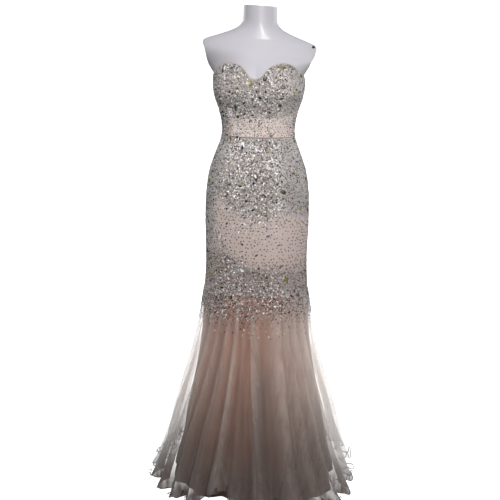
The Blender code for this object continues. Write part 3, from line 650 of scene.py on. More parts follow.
def cover(column, height, thin, thick):
    """How much of what is behind it the net hides: least at the sides, most along its hem."""
    laid = thin + (thick - thin) * gathered(column, height)
    aside = (np.abs(wrapped(net_angle(column, height))) - SHEER_ANGLE) / SHEER_SPREAD
    laid = laid * (1 - SHEER_LOSS * np.exp(-aside * aside))
    side = np.exp(-(1.5 * np.minimum(aside, 0.0)) ** 2) * (1 - 0.45 * ease((aside - 0.6) / 2.0))
    bunched = ease((HEM_BUNCH_TOP - height) / HEM_BUNCH_TOP)
    return laid + (HEM_BUNCH * (1 - side) + HEM_SIDE * side - laid) * bunched


def lit_through(column, height):
    """The light that comes through the net from behind, at the sides where no lining blocks it."""
    aside = (np.abs(wrapped(net_angle(column, height))) - SHEER_ANGLE) / SHEER_SPREAD
    return NET_GLOW * np.exp(-aside * aside) * ease((height + 0.02) / 0.17)


def tulle(name):
    net_look = Finish(name, {"Roughness": 0.9, "Sheen Weight": 0.3, "Specular IOR Level": 0.1})
    # Painted light and shade: the net is painted darker towards the hem and in the fold valleys, lighter on
    # the fold tops, and lighter where its painted glow lights the sides.
    low = net_look.between(net_look.height(), 0.01, 0.49) + net_look.held("glow") * 1.2
    deep = net_look.mix(low, (0.135, 0.108, 0.098), (0.58, 0.48, 0.41))
    light = net_look.mix(low, (0.205, 0.170, 0.154), (0.88, 0.765, 0.68))
    mesh_grain = net_look.noise(0.0015, 1.0)
    streaks = net_look.noise(0.020, 2.0, (1.0, 1.0, 0.05))
    net_look.feed({
        "Base Color": net_look.mix(net_look.held("gather"), deep, light),
        "Alpha": net_look.held("cover") * (streaks * 0.8 + mesh_grain * 0.4 + 0.4),
        "Normal": net_look.bump(mesh_grain, 0.0003),
        # The glow at the sides is painted light: the net emits it though it is no lamp.
        "Emission Color": net_look.held("glow"),
        "Emission Strength": 1.0,
    })
    return net_look.material


outer_net = tulle("outer_net")
net_rows = NET_HEM + (FLARE_SEAM - SEAM_GAP - NET_HEM) * np.linspace(0, 1, NET_ROWS) ** 1.5
GORES = {"net_side_right": (4, 9), "net_front": (9, 15), "net_side_left": (15, 20), "net_back": (20, 28)}
for name, (first, last) in GORES.items():
    columns = np.linspace(first + 0.5, last + 0.5, (last - first) * NET_COLUMNS + 1)
    gore = cloth(f"{name}_gore", columns, net_rows, net, 0, outer_net, [name])
    carry(gore, "gather", gathered(columns[None, :], net_rows[:, None]))
    carry(gore, "cover", cover(columns[None, :], net_rows[:, None], 0.14, 0.54))
    carry(gore, "glow", lit_through(columns[None, :], net_rows[:, None]))

# Rolled hem. The net's edge is turned over a stiff line and stitched with dark grey thread, which
# reads as a thin dark cord that winds in small curls all the way round.
HEM_CORD = 0.0013
CORD_SIDES = 5
LOOP_LENGTH = 0.046
LOOP_SIZE = 0.0135
LOOP_SWELLS = 11
HEM_POINTS = 4400


def tube(centres, radius, sides):
    """Points and faces of a closed loop of tube round these centres."""
    along = np.roll(centres, -1, axis=0) - np.roll(centres, 1, axis=0)
    along /= np.linalg.norm(along, axis=1, keepdims=True)
    side = np.cross(along, np.array([0.0, 0.0, 1.0]))
    side /= np.maximum(np.linalg.norm(side, axis=1, keepdims=True), 1e-9)
    over = np.cross(side, along)
    turn = np.linspace(0, 2 * np.pi, sides, endpoint=False)
    rings = centres[:, None, :] + radius * (
        np.cos(turn)[None, :, None] * side[:, None, :] + np.sin(turn)[None, :, None] * over[:, None, :]
    )
    faces = grid_faces(len(centres) + 1, sides, closed=True) % (len(centres) * sides)
    return rings, faces


def two_tone(name, constants, size, first, second):
    """A finish that drifts between two colours, in patches of about this size."""
    made = Finish(name, constants)
    made.feed({"Base Color": made.mix(made.noise(size), first, second)})
    return made.material


hem_thread = two_tone("hem_thread", {"Roughness": 0.7}, 0.02, (0.05, 0.045, 0.042), (0.13, 0.12, 0.115))
hem_columns = np.linspace(0, len(NET_FOLDS), HEM_POINTS, endpoint=False)
hem_line = net(hem_columns, NET_HEM)
hem_ahead = np.roll(hem_line, -1, axis=0) - np.roll(hem_line, 1, axis=0)
hem_run = np.cumsum(np.linalg.norm(hem_ahead, axis=1)) / 2
hem_ahead /= np.linalg.norm(hem_ahead, axis=1, keepdims=True)
loops = np.round(hem_run[-1] / LOOP_LENGTH)
loop_turn = 2 * np.pi * loops * hem_run / hem_run[-1]
loop_swell = np.sin(hem_columns * 2 * np.pi * LOOP_SWELLS / len(NET_FOLDS))
loop_size = LOOP_SIZE * (0.55 + 0.45 * loop_swell)[:, None]
hem_out = hem_line * np.array([1.0, 1.0, 0.0]) / np.linalg.norm(hem_line[:, :2], axis=1, keepdims=True)
hem_line = hem_line + loop_size * (
    hem_ahead * np.sin(loop_turn)[:, None] * 0.9 + hem_out * np.cos(loop_turn * 1.5)[:, None] * 0.35
)
hem_line[:, 2] += loop_size[:, 0] * (1 - np.cos(loop_turn)) * 0.85
cord_points, cord_faces = tube(hem_line, HEM_CORD, CORD_SIDES)
piece("rolled_hem", mesh_from("rolled_hem", cord_points, cord_faces), hem_thread)

# Fitted skirt. A front and two backs of blush net over a firm backing, covered with beads, smooth
# over the hips and thighs down to the knee seam.
Crease = namedtuple("Crease", "angle height turn length width rise")
CREASES = (
    Crease(-62, 1.224, 8, 0.040, 0.0045, 0.0030),
    Crease(-58, 1.211, -4, 0.034, 0.0040, 0.0026),
    Crease(-64, 1.197, 6, 0.030, 0.0045, 0.0022),
    Crease(66, 1.022, -3, 0.030, 0.0040, 0.0020),
    Crease(-60, 0.850, 84, 0.110, 0.0120, 0.0050),
    Crease(-30, 0.690, 88, 0.050, 0.0070, 0.0026),
    Crease(12, 0.690, 92, 0.055, 0.0080, 0.0028),
    Crease(44, 0.690, 90, 0.045, 0.0080, 0.0024),
    Crease(120, 1.060, 12, 0.040, 0.0060, 0.0026),
    Crease(-128, 1.070, -10, 0.036, 0.0060, 0.0024),
    Crease(150, 0.840, 80, 0.080, 0.0120, 0.0036),
    Crease(-145, 0.720, 95, 0.070, 0.0100, 0.0034),
)
GIRTH = 0.13
WAIST_SEAM = 1.146
SKIRT_WALL = 0.0016
SIDE_SEAM = 90.0
SIDE_ROOM = 0.08
BACK_ROOM = 1.8
SKIRT_ROWS = 110
FRONT_COLUMNS = 100
BACK_COLUMNS = 64


def gown(angle, height):
    """The fitted part's outside, with its creases as soft ridges."""
    raised = 0.0
    for row in CREASES:
        aside = np.radians(wrapped(angle - row.angle)) * GIRTH
        above = height - row.height
        turn = radians(row.turn)
        along = (aside * np.cos(turn) + above * np.sin(turn)) / row.length
        across = (above * np.cos(turn) - aside * np.sin(turn)) / row.width
        raised = raised + row.rise * np.exp(-along * along - across * across)
    reach = table_reach(BODY, angle, height) + cup_swell(angle, height) + raised
    return at(angle, reach, height)


Edge = namedtuple("Edge", "angle hip_low knee_top")
BEAD_EDGES = (
    Edge(-180, 0.836, 0.773),
    Edge(-140, 0.846, 0.778),
    Edge(-110, 0.816, 0.793),
    Edge(-90, 0.816, 0.808),
    Edge(-68, 0.846, 0.818),
    Edge(-56, 0.896, 0.818),
    Edge(-42, 0.871, 0.813),
    Edge(-14, 0.833, 0.773),
    Edge(26, 0.830, 0.763),
    Edge(50, 0.85, 0.755),
    Edge(76, 0.838, 0.755),
    Edge(110, 0.806, 0.763),
    Edge(180, 0.836, 0.773),
)
HIP_SOFT = 0.095
KNEE_SOFT = 0.045
STRIP_TOP = 0.945
STRIP_SLANT = 22 / 0.15
KNEE_FULL = 0.648
FADE_END = 0.472


def read_round(table, column, angle):
    return read(table, column, wrapped(angle), key="angle")


def underbust(angle):
    return read(UNDERBUST, "height", np.abs(wrapped(angle)), key="angle")


SeamPoint = namedtuple("SeamPoint", "angle height")
UNDERBUST = (SeamPoint(0, 1.216), SeamPoint(28, 1.208), SeamPoint(60, 1.218), SeamPoint(90, 1.236))


def beading(angle, height):
    """How closely the beads lie, from 0 for bare net to 1 for beads side by side."""
    side = wrapped(angle)
    hip = ease((height - read_round(BEAD_EDGES, "hip_low", side)) / HIP_SOFT)
    knee = ease((read_round(BEAD_EDGES, "knee_top", side) - height) / KNEE_SOFT)
    knee = knee * ease((height - FADE_END) / (KNEE_FULL - FADE_END)) ** 2.1
    strip_edge = -60 + STRIP_SLANT * np.clip(STRIP_TOP - height, 0.0, 0.15)
    strip = 0.72 * ease((strip_edge - side) / 8) * ease((side + 125) / 20) * (height > KNEE_FULL)
    lower = np.maximum(np.maximum(hip, knee), strip)
    midriff = 0.30 + 0.48 * ease((-46 - side) / 14) * ease((side + 120) / 20)
    midriff = np.maximum(midriff, 0.5 * ease((side - 70) / 20))
    bust_low = underbust(side)
    back = ease((np.abs(side) - 66) / 40)
    upper = midriff + (1 - midriff) * np.maximum(ease((height - bust_low + 0.015) / 0.025), back)
    return np.where(height > WAIST_SEAM, upper, lower)


ground = Finish("blush_net_ground", {"Roughness": 0.6, "Sheen Weight": 0.3, "Specular IOR Level": 0.3})
packed_share = ground.held("beading")
cells = ground.node("TexVoronoi", sockets={"Vector": ground.place(), "Scale": 1 / 0.0024}, out=1)
cell_tone = ground.node("SeparateColor", sockets={0: cells}, out=0)
near_bead = ground.node("TexVoronoi", sockets={"Vector": ground.place(), "Scale": 1 / 0.0024})
seed = ground.between(near_bead, 0.55, 0.25)
seed_colour = ground.mix(cell_tone, (0.10, 0.095, 0.09), (0.98, 0.96, 0.95))
blush = ground.mix(ground.noise(0.06), (0.78, 0.66, 0.61), (0.86, 0.74, 0.69))
# Painted shade: the blush ground is painted darker lower down, over the thighs and most of all towards the
# knee seam.
blush = ground.mix(ground.between(ground.height(), 1.25, 0.72), blush, (0.68, 0.56, 0.515))
blush = ground.mix(ground.between(ground.height(), 0.79, 0.65), blush, (0.42, 0.29, 0.245))
# Painted shade: where the beads lie closely, the ground between them is painted darker.
shade_under_beads = ground.mix(0.55, blush, (0.28, 0.245, 0.235))
backing = ground.mix(packed_share ** 3, blush, shade_under_beads)
weave = ground.noise(0.0009, 1.0)
ground.feed({
    "Base Color": ground.mix(seed * (packed_share ** 2) * 0.75, backing, seed_colour),
    "Roughness": 0.65 - seed * packed_share * 0.35,
    "Normal": ground.bump(weave * 0.3 + seed * packed_share, 0.0006),
})


def beaded_cloth(name, columns, rows, place, wall, replaced):
    """A fitted panel that also carries how closely it is beaded."""
    made = cloth(name, columns, rows, place, wall, ground.material, replaced)
    points = place(columns[None, :], rows[:, None])
    angle = np.degrees(np.arctan2(points[..., 0], -points[..., 1]))
    carry(made, "beading", beading(angle, points[..., 2]))


def left_and_right(low, high, count):
    """The two sides by name, each with its columns in order."""
    columns = np.linspace(low, high, count)
    return ("left", columns), ("right", -columns[::-1])


skirt_rows = np.linspace(FLARE_SEAM + SEAM_GAP / 2, WAIST_SEAM - SEAM_GAP / 2, SKIRT_ROWS)
front_columns = np.linspace(-SIDE_SEAM + SIDE_ROOM, SIDE_SEAM - SIDE_ROOM, FRONT_COLUMNS)
beaded_cloth("skirt_front_cloth", front_columns, skirt_rows, gown, SKIRT_WALL, ["skirt_front"])


def back_skirt(angle, height):
    """The centre-back edge stands aside for the zip above its end, and meets its pair below it."""
    zip_share = ease((height - 0.935) / 0.010)
    room = 0.12 + (BACK_ROOM - 0.12) * zip_share
    limit = 180.0 - room
    return gown(np.clip(angle, -limit, limit), height)


for name, columns in left_and_right(SIDE_SEAM + SIDE_ROOM, 179.88, BACK_COLUMNS):
    beaded_cloth(f"skirt_back_{name}_cloth", columns, skirt_rows, back_skirt, SKIRT_WALL,
                 [f"skirt_back_{name}"])

# Bodice. The midriff band and the two cups are cut from the same blush net over a firm backing,
# and the backs meet at the zip. The cups' top edge is bound with a narrow pale pink fold.
NECKLINE = (
    SeamPoint(0, 1.324), SeamPoint(10, 1.333), SeamPoint(17, 1.349), SeamPoint(25, 1.362),
    SeamPoint(35, 1.370), SeamPoint(46, 1.373), SeamPoint(57, 1.365), SeamPoint(67, 1.349),
    SeamPoint(78, 1.334), SeamPoint(90, 1.322), SeamPoint(120, 1.306), SeamPoint(180, 1.298),
)
BINDING = 0.0010
BINDING_SIDES = 8
BODICE_ROWS = 60
CUP_COLUMNS = 90
BODICE_BACK_COLUMNS = 80


def neckline(angle):
    return read(NECKLINE, "height", np.abs(wrapped(angle)), key="angle")


def share_between(low, high):
    """A place on the gown by its angle and its share of the way between two seams."""
    return lambda angle, share: gown(angle, low(angle) + (high(angle) - low(angle)) * share)


def just_above(seam):
    return lambda angle: seam(angle) + SEAM_GAP / 2


def just_below(seam):
    return lambda angle: seam(angle) - SEAM_GAP / 2


def waist(angle):
    return WAIST_SEAM + 0.0 * np.asarray(angle, float)


shares = np.linspace(0.0, 1.0, BODICE_ROWS)
cup_place = share_between(just_above(underbust), neckline)
midriff_place = share_between(just_above(waist), just_below(underbust))
back_place = share_between(just_above(waist), neckline)
for name, columns in left_and_right(SIDE_ROOM, SIDE_SEAM - SIDE_ROOM, CUP_COLUMNS):
    beaded_cloth(f"cup_{name}_cloth", columns, shares, cup_place, BODICE_WALL, [f"bust_cup_{name}"])
beaded_cloth("midriff_cloth", front_columns, shares[::2], midriff_place, BODICE_WALL, ["midriff_front"])
for name, columns in left_and_right(SIDE_SEAM + SIDE_ROOM, 180 - BACK_ROOM, BODICE_BACK_COLUMNS):
    beaded_cloth(f"bodice_back_{name}_cloth", columns, shares, back_place, BODICE_WALL,
                 [f"bodice_back_{name}"])

pale_pink = two_tone("pale_pink_binding", {"Roughness": 0.55, "Sheen Weight": 0.3}, 0.01,
                     (0.58, 0.47, 0.43), (0.68, 0.58, 0.54))
binding_angles = np.linspace(-178, 178, 900)
binding_line = gown(binding_angles, neckline(binding_angles) + 0.0004)
binding_points, binding_faces = tube(binding_line, BINDING, BINDING_SIDES)
binding_faces = binding_faces[: (len(binding_angles) - 1) * BINDING_SIDES]
piece("neck_binding", mesh_from("neck_binding", binding_points, binding_faces), pale_pink)

# Zip. A closed nylon coil zip runs down the centre back from just under the binding. Its slider
# sits near the top, and the pull tab hangs from the slider's bridge and swings up.
COIL_HALF = 0.0025
COIL_PITCH = 0.0016
ZIP_TOP = 1.294
ZIP_END = 0.940
BLOCK_FACES = np.array([
    [0, 2, 3, 1], [4, 5, 7, 6], [0, 1, 5, 4], [2, 6, 7, 3], [1, 3, 7, 5], [0, 4, 6, 2],
])
nylon = two_tone("nylon_coil", {"Roughness": 0.45}, 0.01, (0.50, 0.39, 0.35), (0.60, 0.49, 0.45))


def zip_bed(across, height):
    """A point across the zip, on the gown's centre back."""
    reach = np.linalg.norm(gown(180.0, height)[..., :2], axis=-1)
    return gown(180.0 + np.degrees(across / reach), height)


def build_zip():
    """The tape, and a small block for each tooth on its two sides in turn."""
    heights = np.arange(ZIP_END, ZIP_TOP, COIL_PITCH / 2)
    tape = zip_bed(np.array([-COIL_HALF, 0.0, COIL_HALF])[None, :], heights[:, None])
    tape[..., 1] -= 0.0010
    points, faces, count = [tape.reshape(-1, 3)], [grid_faces(len(heights), 3)], tape.size // 3
    for side in (-1, 1):
        for height in heights[1 - (side < 0)::2]:
            near, far = zip_bed(side * 0.0003, height), zip_bed(side * 0.0022, height)
            block = []
            for end in (near, far):
                for dx, dz in ((0, -0.00045), (0, 0.00045)):
                    for dy in (-0.0006, 0.0002):
                        block.append(end + np.array([dx, dy, dz]))
            points.append(np.array(block))
            faces.append(BLOCK_FACES + count)
            count += len(block)
    return mesh_from("coil_teeth", np.concatenate(points), np.concatenate(faces), smooth=False)


piece("coil_teeth", build_zip(), nylon, ["zip_coil"])
zip_metal = brushed("zip_metal", (0.62, 0.58, 0.54), 0.22)
for name in ("zip_slider", "zip_pull"):
    refinish(name, zip_metal)

# Large stones. Foiled marquise, pear and oval glass stones in yellow-green, smoke and clear, each
# sewn through its setting in its own place among the small beads.
Tint = namedtuple("Tint", "share colour")
Stone = namedtuple("Stone", "height angle length width turn tint")
CLEAR, CITRINE, SMOKE, PEWTER = "clear", "citrine", "smoke", "pewter"
STONES = (
    Stone(1.351, -51, 0.026, 0.011, 22, CITRINE),
    Stone(1.312, -9, 0.024, 0.016, -50, CITRINE),
    Stone(1.358, 43, 0.027, 0.012, -80, CITRINE),
    Stone(1.327, 15, 0.016, 0.014, 40, SMOKE),
    Stone(1.332, 70, 0.021, 0.009, -12, CITRINE),
    Stone(1.285, 55, 0.022, 0.010, 3, CITRINE),
    Stone(1.303, 37, 0.018, 0.013, 90, SMOKE),
    Stone(1.271, 9, 0.018, 0.015, -40, SMOKE),
    Stone(1.269, 37, 0.015, 0.008, 80, SMOKE),
    Stone(1.247, 40, 0.019, 0.013, -40, SMOKE),
    Stone(1.237, -35, 0.026, 0.013, -8, SMOKE),
    Stone(1.264, -5, 0.013, 0.009, -40, SMOKE),
    Stone(1.253, -19, 0.013, 0.008, 50, SMOKE),
    Stone(1.266, -55, 0.017, 0.008, -18, CITRINE),
    Stone(1.226, 26, 0.014, 0.010, -60, SMOKE),
    Stone(1.134, -52, 0.025, 0.009, 13, CITRINE),
    Stone(1.116, -26, 0.031, 0.014, 0, CLEAR),
    Stone(1.124, 40, 0.015, 0.010, 20, CLEAR),
    Stone(1.081, 33, 0.018, 0.008, -30, CLEAR),
    Stone(1.051, 29, 0.018, 0.016, -35, CLEAR),
    Stone(1.041, 62, 0.023, 0.011, -22, CITRINE),
    Stone(1.028, 2, 0.029, 0.015, -20, CITRINE),
    Stone(1.011, 82, 0.017, 0.007, 0, CITRINE),
    Stone(1.006, -74, 0.018, 0.008, 0, CITRINE),
    Stone(0.996, -24, 0.027, 0.015, 90, CITRINE),
    Stone(0.980, 46, 0.022, 0.013, -75, SMOKE),
    Stone(0.926, 68, 0.019, 0.009, 28, CITRINE),
    Stone(0.922, -2, 0.021, 0.013, 90, CLEAR),
    Stone(0.728, -15, 0.020, 0.015, -35, CLEAR),
    Stone(0.707, -65, 0.018, 0.009, 0, CITRINE),
    Stone(0.701, 48, 0.023, 0.012, 75, CITRINE),
    Stone(0.669, -44, 0.020, 0.010, 90, SMOKE),
    Stone(1.250, 128, 0.022, 0.010, 15, CITRINE),
    Stone(1.250, -128, 0.022, 0.010, -15, CITRINE),
    Stone(1.035, 138, 0.024, 0.012, 25, CLEAR),
    Stone(1.035, -138, 0.024, 0.012, -25, CITRINE),
    Stone(0.955, 118, 0.022, 0.012, 80, SMOKE),
    Stone(0.955, -118, 0.022, 0.012, -80, CITRINE),
)
# Each facet of a stone is painted in one of these tones: the near-whites and near-blacks are painted
# reflections, and the palest also glow as painted glints.
FACET_TONES_AND_PAINTED_REFLECTIONS = {
    CITRINE: (
        (0.44, 0.42, 0.12), (0.16, 0.155, 0.06), (0.03, 0.03, 0.02), (1.0, 1.0, 0.92), (0.40, 0.37, 0.16),
    ),
    SMOKE: (
        (0.045, 0.05, 0.04), (0.10, 0.11, 0.09), (0.02, 0.02, 0.02), (0.34, 0.36, 0.32), (0.10, 0.10, 0.05),
    ),
    CLEAR: (
        (1.0, 1.0, 1.0), (0.40, 0.40, 0.41), (0.04, 0.04, 0.04), (0.90, 0.90, 0.90), (0.36, 0.34, 0.18),
    ),
    PEWTER: (
        (0.30, 0.32, 0.36), (0.18, 0.19, 0.22), (0.05, 0.05, 0.06), (0.50, 0.52, 0.56), (0.24, 0.25, 0.28),
    ),
}
OUTLINE = 8
# The table's facets take one tone, and the crown's four quarters take one each.
CUT_GROUPS = np.concatenate([
    np.tile(1 + np.arange(OUTLINE) // 2, 6), np.zeros(OUTLINE - 2, int), np.ones(OUTLINE - 2, int),
])


def marquise():
    """A pointed oval with a table, a crown of two tiers and a shallow base: points and faces."""
    turn = np.linspace(0, 2 * np.pi, OUTLINE, endpoint=False)
    x = np.sin(turn) / 2
    x = np.sign(x) * (np.abs(x) * 2) ** 1.35 / 2
    y = np.cos(turn) / 2
    tiers = [(0.86, -0.10), (1.0, 0.30), (0.76, 0.78), (0.48, 1.0)]
    points = np.concatenate([np.stack([x * grow, y * grow, np.full(OUTLINE, up)], 1) for grow, up in tiers])
    quads = grid_faces(len(tiers), OUTLINE, closed=True)[:, ::-1]
    faces = [tuple(q) for q in np.concatenate([quads[:, [0, 1, 2]], quads[:, [0, 2, 3]]])]
    last = (len(tiers) - 1) * OUTLINE
    faces += [(last, last + i + 1, last + i) for i in range(1, OUTLINE - 1)]
    faces += [(0, i, i + 1) for i in range(1, OUTLINE - 1)]
    return points, np.array(faces)


def painted_bead_light(angle, height):
    """Painted light and shade: the beads are painted lighter over the top of the hips and on the
    wearer's left, darker on the right.
    """
    side = wrapped(angle)
    lit = 1 + 0.24 * ease((side - 20) / 40) + 0.22 * ease((-44 - side) / 20)
    lit = lit * (1 + 0.18 * ease((height - 0.99) / 0.08) * ease((1.16 - height) / 0.02))
    return lit * (1 - 0.08 * ease((0.82 - height) / 0.10))


def painted_glint_reach(angle):
    """Painted glints: the beads that face the lamps are painted to flash white, and those further
    round stay grey.
    """
    return 1 - 0.24 * ease((np.abs(wrapped(angle) + 4) - 40) / 26)


def beads(name, place, where, shape, sizes, tints, draw, look, spin=180.0, tilt=17.0, step=0.5, shade=0.5,
          groups=None):
    """One joined mesh of beads, each set square to the cloth, spun and tilted a little."""
    points, faces = shape
    count = len(where)
    across, height = where[:, 0], where[:, 1]
    seat = place(across, height)
    out = outward_of(place, across, height, step)
    north = np.array([0.0, 0.0, 1.0]) - out * out[:, 2:]
    north /= np.linalg.norm(north, axis=1, keepdims=True)
    east = np.cross(north, out)
    turn = np.radians(draw.uniform(-spin, spin, count)) if np.isscalar(spin) else np.radians(-spin)
    lean = np.radians(draw.uniform(-tilt, tilt, (count, 2)))
    side = east * np.cos(turn)[:, None] + north * np.sin(turn)[:, None]
    ahead = north * np.cos(turn)[:, None] - east * np.sin(turn)[:, None]
    face = out + side * np.sin(lean[:, :1]) + ahead * np.sin(lean[:, 1:])
    face /= np.linalg.norm(face, axis=1, keepdims=True)
    side = np.cross(ahead, face)
    side /= np.linalg.norm(side, axis=1, keepdims=True)
    ahead = np.cross(face, side)
    width, length, tall = sizes
    local = np.stack([side * width[:, None], ahead * length[:, None], face * tall[:, None]], axis=1)
    placed = seat[:, None, :] + np.einsum("kj,njc->nkc", points, local)
    all_faces = (faces[None, :, :] + np.arange(count)[:, None, None] * len(points)).reshape(-1, 3)
    mesh = mesh_from(name, placed, all_faces, smooth=False)
    shares = np.array([tint.share for tint in tints])
    groups = np.zeros(len(faces), int) if groups is None else groups
    pick = draw.choice(len(tints), (count, groups.max() + 1), p=shares / shares.sum())[:, groups]
    colours = np.array([tint.colour for tint in tints])[pick] * draw.uniform(0.8, 1.2, (count, 1, 1))
    angle = np.degrees(np.arctan2(seat[:, 0], -seat[:, 1]))
    colours = colours * painted_bead_light(angle, height)[:, None, None]
    # Each facet is painted a little lighter or darker at random, as painted reflection on the facets.
    facets = colours * draw.uniform(1 - shade, 1 + shade, (count, len(faces), 1))
    corners = np.repeat(facets.reshape(-1, 3), 3, axis=0)
    holder = mesh.color_attributes.new("tint", "FLOAT_COLOR", "CORNER")
    limit = np.repeat(painted_glint_reach(angle), len(faces) * 3)[:, None]
    rgba = np.concatenate([np.clip(corners, 0, limit), np.ones((len(corners), 1))], axis=1)
    holder.data.foreach_set("color", rgba.astype(np.float32).ravel())
    return piece(name, mesh, look)


def foiled_with_painted_glints(name, constants):
    """Foiled glass in the colours that the mesh carries, whose palest facets glow as painted glints."""
    glass = Finish(name, constants)
    tone = glass.held("tint", 0)
    glass.feed({"Base Color": tone, "Emission Color": tone ** 12})
    return glass.material


def set_stones(name, rows, tint, tall, seed, tilt):
    """One joined mesh of the stones of a tint, each in its own place."""
    where = np.array([(row.angle, row.height) for row in rows], float)
    sizes = (
        np.array([row.width for row in rows]),
        np.array([row.length for row in rows]),
        np.full(len(rows), tall),
    )
    spins = np.array([row.turn for row in rows], float)
    tones = tuple(Tint(1.0, colour) for colour in FACET_TONES_AND_PAINTED_REFLECTIONS[tint])
    return beads(name, gown, where, marquise(), sizes, tones, np.random.default_rng(seed), stone_glass,
                 spins, tilt, shade=0.25, groups=CUT_GROUPS)


stone_glass = foiled_with_painted_glints("foiled_stone_painted_glints", {
    "Roughness": 0.07, "Metallic": 0.3, "IOR": 1.65, "Coat Weight": 0.6, "Emission Strength": 0.45,
})
for tint in (CITRINE, SMOKE, CLEAR):
    numbers = [number for number, row in enumerate(STONES, 1) if row.tint == tint]
    made = set_stones(f"{tint}_stones", [STONES[number - 1] for number in numbers], tint, 0.0044, 31, 3.0)
    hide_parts(*[f"stone_{number:02d}" for number in numbers])

# Middle stones. Smaller foiled glass stones of the same cuts, 8 to 18 mm long, are sewn between the
# large ones and the crystals, each in its own place.
MIDDLE_ROWS = {
    CITRINE: (
        (1.297, 47, 0.010, 0.006, 0), (1.042, -68, 0.010, 0.008, 0), (0.815, 40, 0.012, 0.006, 20),
    ),
    SMOKE: (
        (1.287, -34, 0.010, 0.009, 0), (1.209, -35, 0.012, 0.010, 0), (1.219, -22, 0.012, 0.010, 60),
        (1.216, -6, 0.013, 0.007, 80), (1.288, 16, 0.010, 0.008, 0), (1.146, -38, 0.009, 0.008, 0),
        (0.962, -45, 0.012, 0.008, 0), (0.950, -13, 0.012, 0.009, 60), (1.006, -1, 0.010, 0.009, 0),
        (0.922, -43, 0.009, 0.007, 0), (0.999, -41, 0.015, 0.007, 90), (1.004, 38, 0.009, 0.008, 0),
        (1.008, 14, 0.009, 0.008, 0), (0.967, 19, 0.012, 0.006, -45), (0.875, -42, 0.012, 0.006, 40),
        (0.813, -18, 0.011, 0.006, -45), (0.779, 6, 0.013, 0.006, 60), (0.906, 20, 0.012, 0.007, -80),
        (0.738, 10, 0.009, 0.009, 0), (0.675, -23, 0.009, 0.008, 0), (0.720, -55, 0.009, 0.009, 0),
        (0.642, -29, 0.009, 0.008, 0), (0.646, 54, 0.012, 0.008, -70), (0.676, 18, 0.010, 0.007, 0),
        (1.196, -12, 0.008, 0.006, 30),
    ),
    CLEAR: (
        (1.328, -25, 0.012, 0.009, 0), (1.312, -32, 0.009, 0.008, 0), (1.290, 2, 0.009, 0.008, 0),
        (1.232, 39, 0.015, 0.008, 30), (1.218, 43, 0.012, 0.008, -30), (1.128, -8, 0.012, 0.006, 25),
        (1.109, 2, 0.012, 0.006, -40), (1.064, -21, 0.010, 0.006, 0), (1.066, -5, 0.012, 0.010, 0),
        (1.103, 25, 0.012, 0.005, 40), (1.044, 13, 0.015, 0.007, -50), (1.051, 54, 0.012, 0.009, 0),
        (0.850, -24, 0.011, 0.006, 60), (0.829, 5, 0.018, 0.005, 55), (0.773, -17, 0.012, 0.008, 0),
        (0.905, 8, 0.014, 0.009, 10), (0.905, 36, 0.012, 0.008, -20), (1.180, 24, 0.008, 0.007, 0),
        (0.698, -5, 0.009, 0.007, 40), (0.690, 30, 0.009, 0.008, 0), (0.712, -38, 0.009, 0.008, 0),
    ),
    PEWTER: (
        (1.242, -3, 0.012, 0.007, 70), (1.356, -38, 0.010, 0.008, 0), (1.152, 33, 0.011, 0.008, 45),
        (0.841, 24, 0.014, 0.008, 70), (0.742, 41, 0.015, 0.009, 0),
    ),
}
MIDDLE_STONES = tuple(Stone(*row, tint) for tint, rows in MIDDLE_ROWS.items() for row in rows)
for tint in MIDDLE_ROWS:
    rows = [row for row in MIDDLE_STONES if row.tint == tint]
    made = set_stones(f"{tint}_middle_stones", rows, tint, 0.0034, 32, 8.0)

# Small beads. Foiled glass crystals, bugles and seed beads are sewn on one by one, side by side
# over the bust, hips and knees, far apart over the midriff and thighs, and thinning out below.
SILVER = Tint(0.22, (0.66, 0.64, 0.63))
GREY = Tint(0.25, (0.31, 0.29, 0.28))
DARK = Tint(0.16, (0.035, 0.032, 0.030))
BLUSH = Tint(0.21, (0.66, 0.56, 0.52))
# The white beads are partly painted glints: their palest facets glow.
WHITE = Tint(0.17, (1.0, 1.0, 1.0))
OLIVE = Tint(0.04, (0.42, 0.40, 0.20))
MIXED = (SILVER, GREY, DARK, BLUSH, WHITE, OLIVE)
KNEE_TINTS = (
    Tint(0.20, (0.62, 0.55, 0.51)), Tint(0.27, (0.31, 0.262, 0.24)), DARK,
    Tint(0.20, (0.60, 0.45, 0.39)), Tint(0.15, WHITE.colour), Tint(0.02, OLIVE.colour),
)
MOSTLY_DARK = (
    Tint(0.55, DARK.colour), Tint(0.20, GREY.colour), Tint(0.15, SILVER.colour), Tint(0.10, OLIVE.colour),
)

turns = np.linspace(0, 2 * np.pi, 6, endpoint=False)
CRYSTAL_POINTS = np.array(
    [[np.sin(t) / 2, np.cos(t) / 2, 0.0] for t in turns]
    + [[np.sin(t) * 0.3, np.cos(t) * 0.3, 1.0] for t in turns]
)
CRYSTAL_FACES = np.array(
    [[(i + 1) % 6, i, 6 + i] for i in range(6)]
    + [[(i + 1) % 6, 6 + i, 6 + (i + 1) % 6] for i in range(6)]
    + [[6, 6 + i + 1, 6 + i] for i in range(1, 5)]
)
CRYSTAL = (CRYSTAL_POINTS, CRYSTAL_FACES)
BUGLE_RING = ((0, -0.1), (1, 0.45), (0, 1.0), (-1, 0.45))
BUGLE_POINTS = np.array([[x / 2, y / 2, z] for y in (-1, 1) for x, z in BUGLE_RING])
BUGLE_FACES = np.array(
    [[i, (i + 1) % 4, 4 + (i + 1) % 4] for i in range(4)] + [[i, 4 + (i + 1) % 4, 4 + i] for i in range(4)]
    + [[0, 2, 1], [0, 3, 2], [4, 5, 6], [4, 6, 7]]
)
BUGLE = (BUGLE_POINTS, BUGLE_FACES)


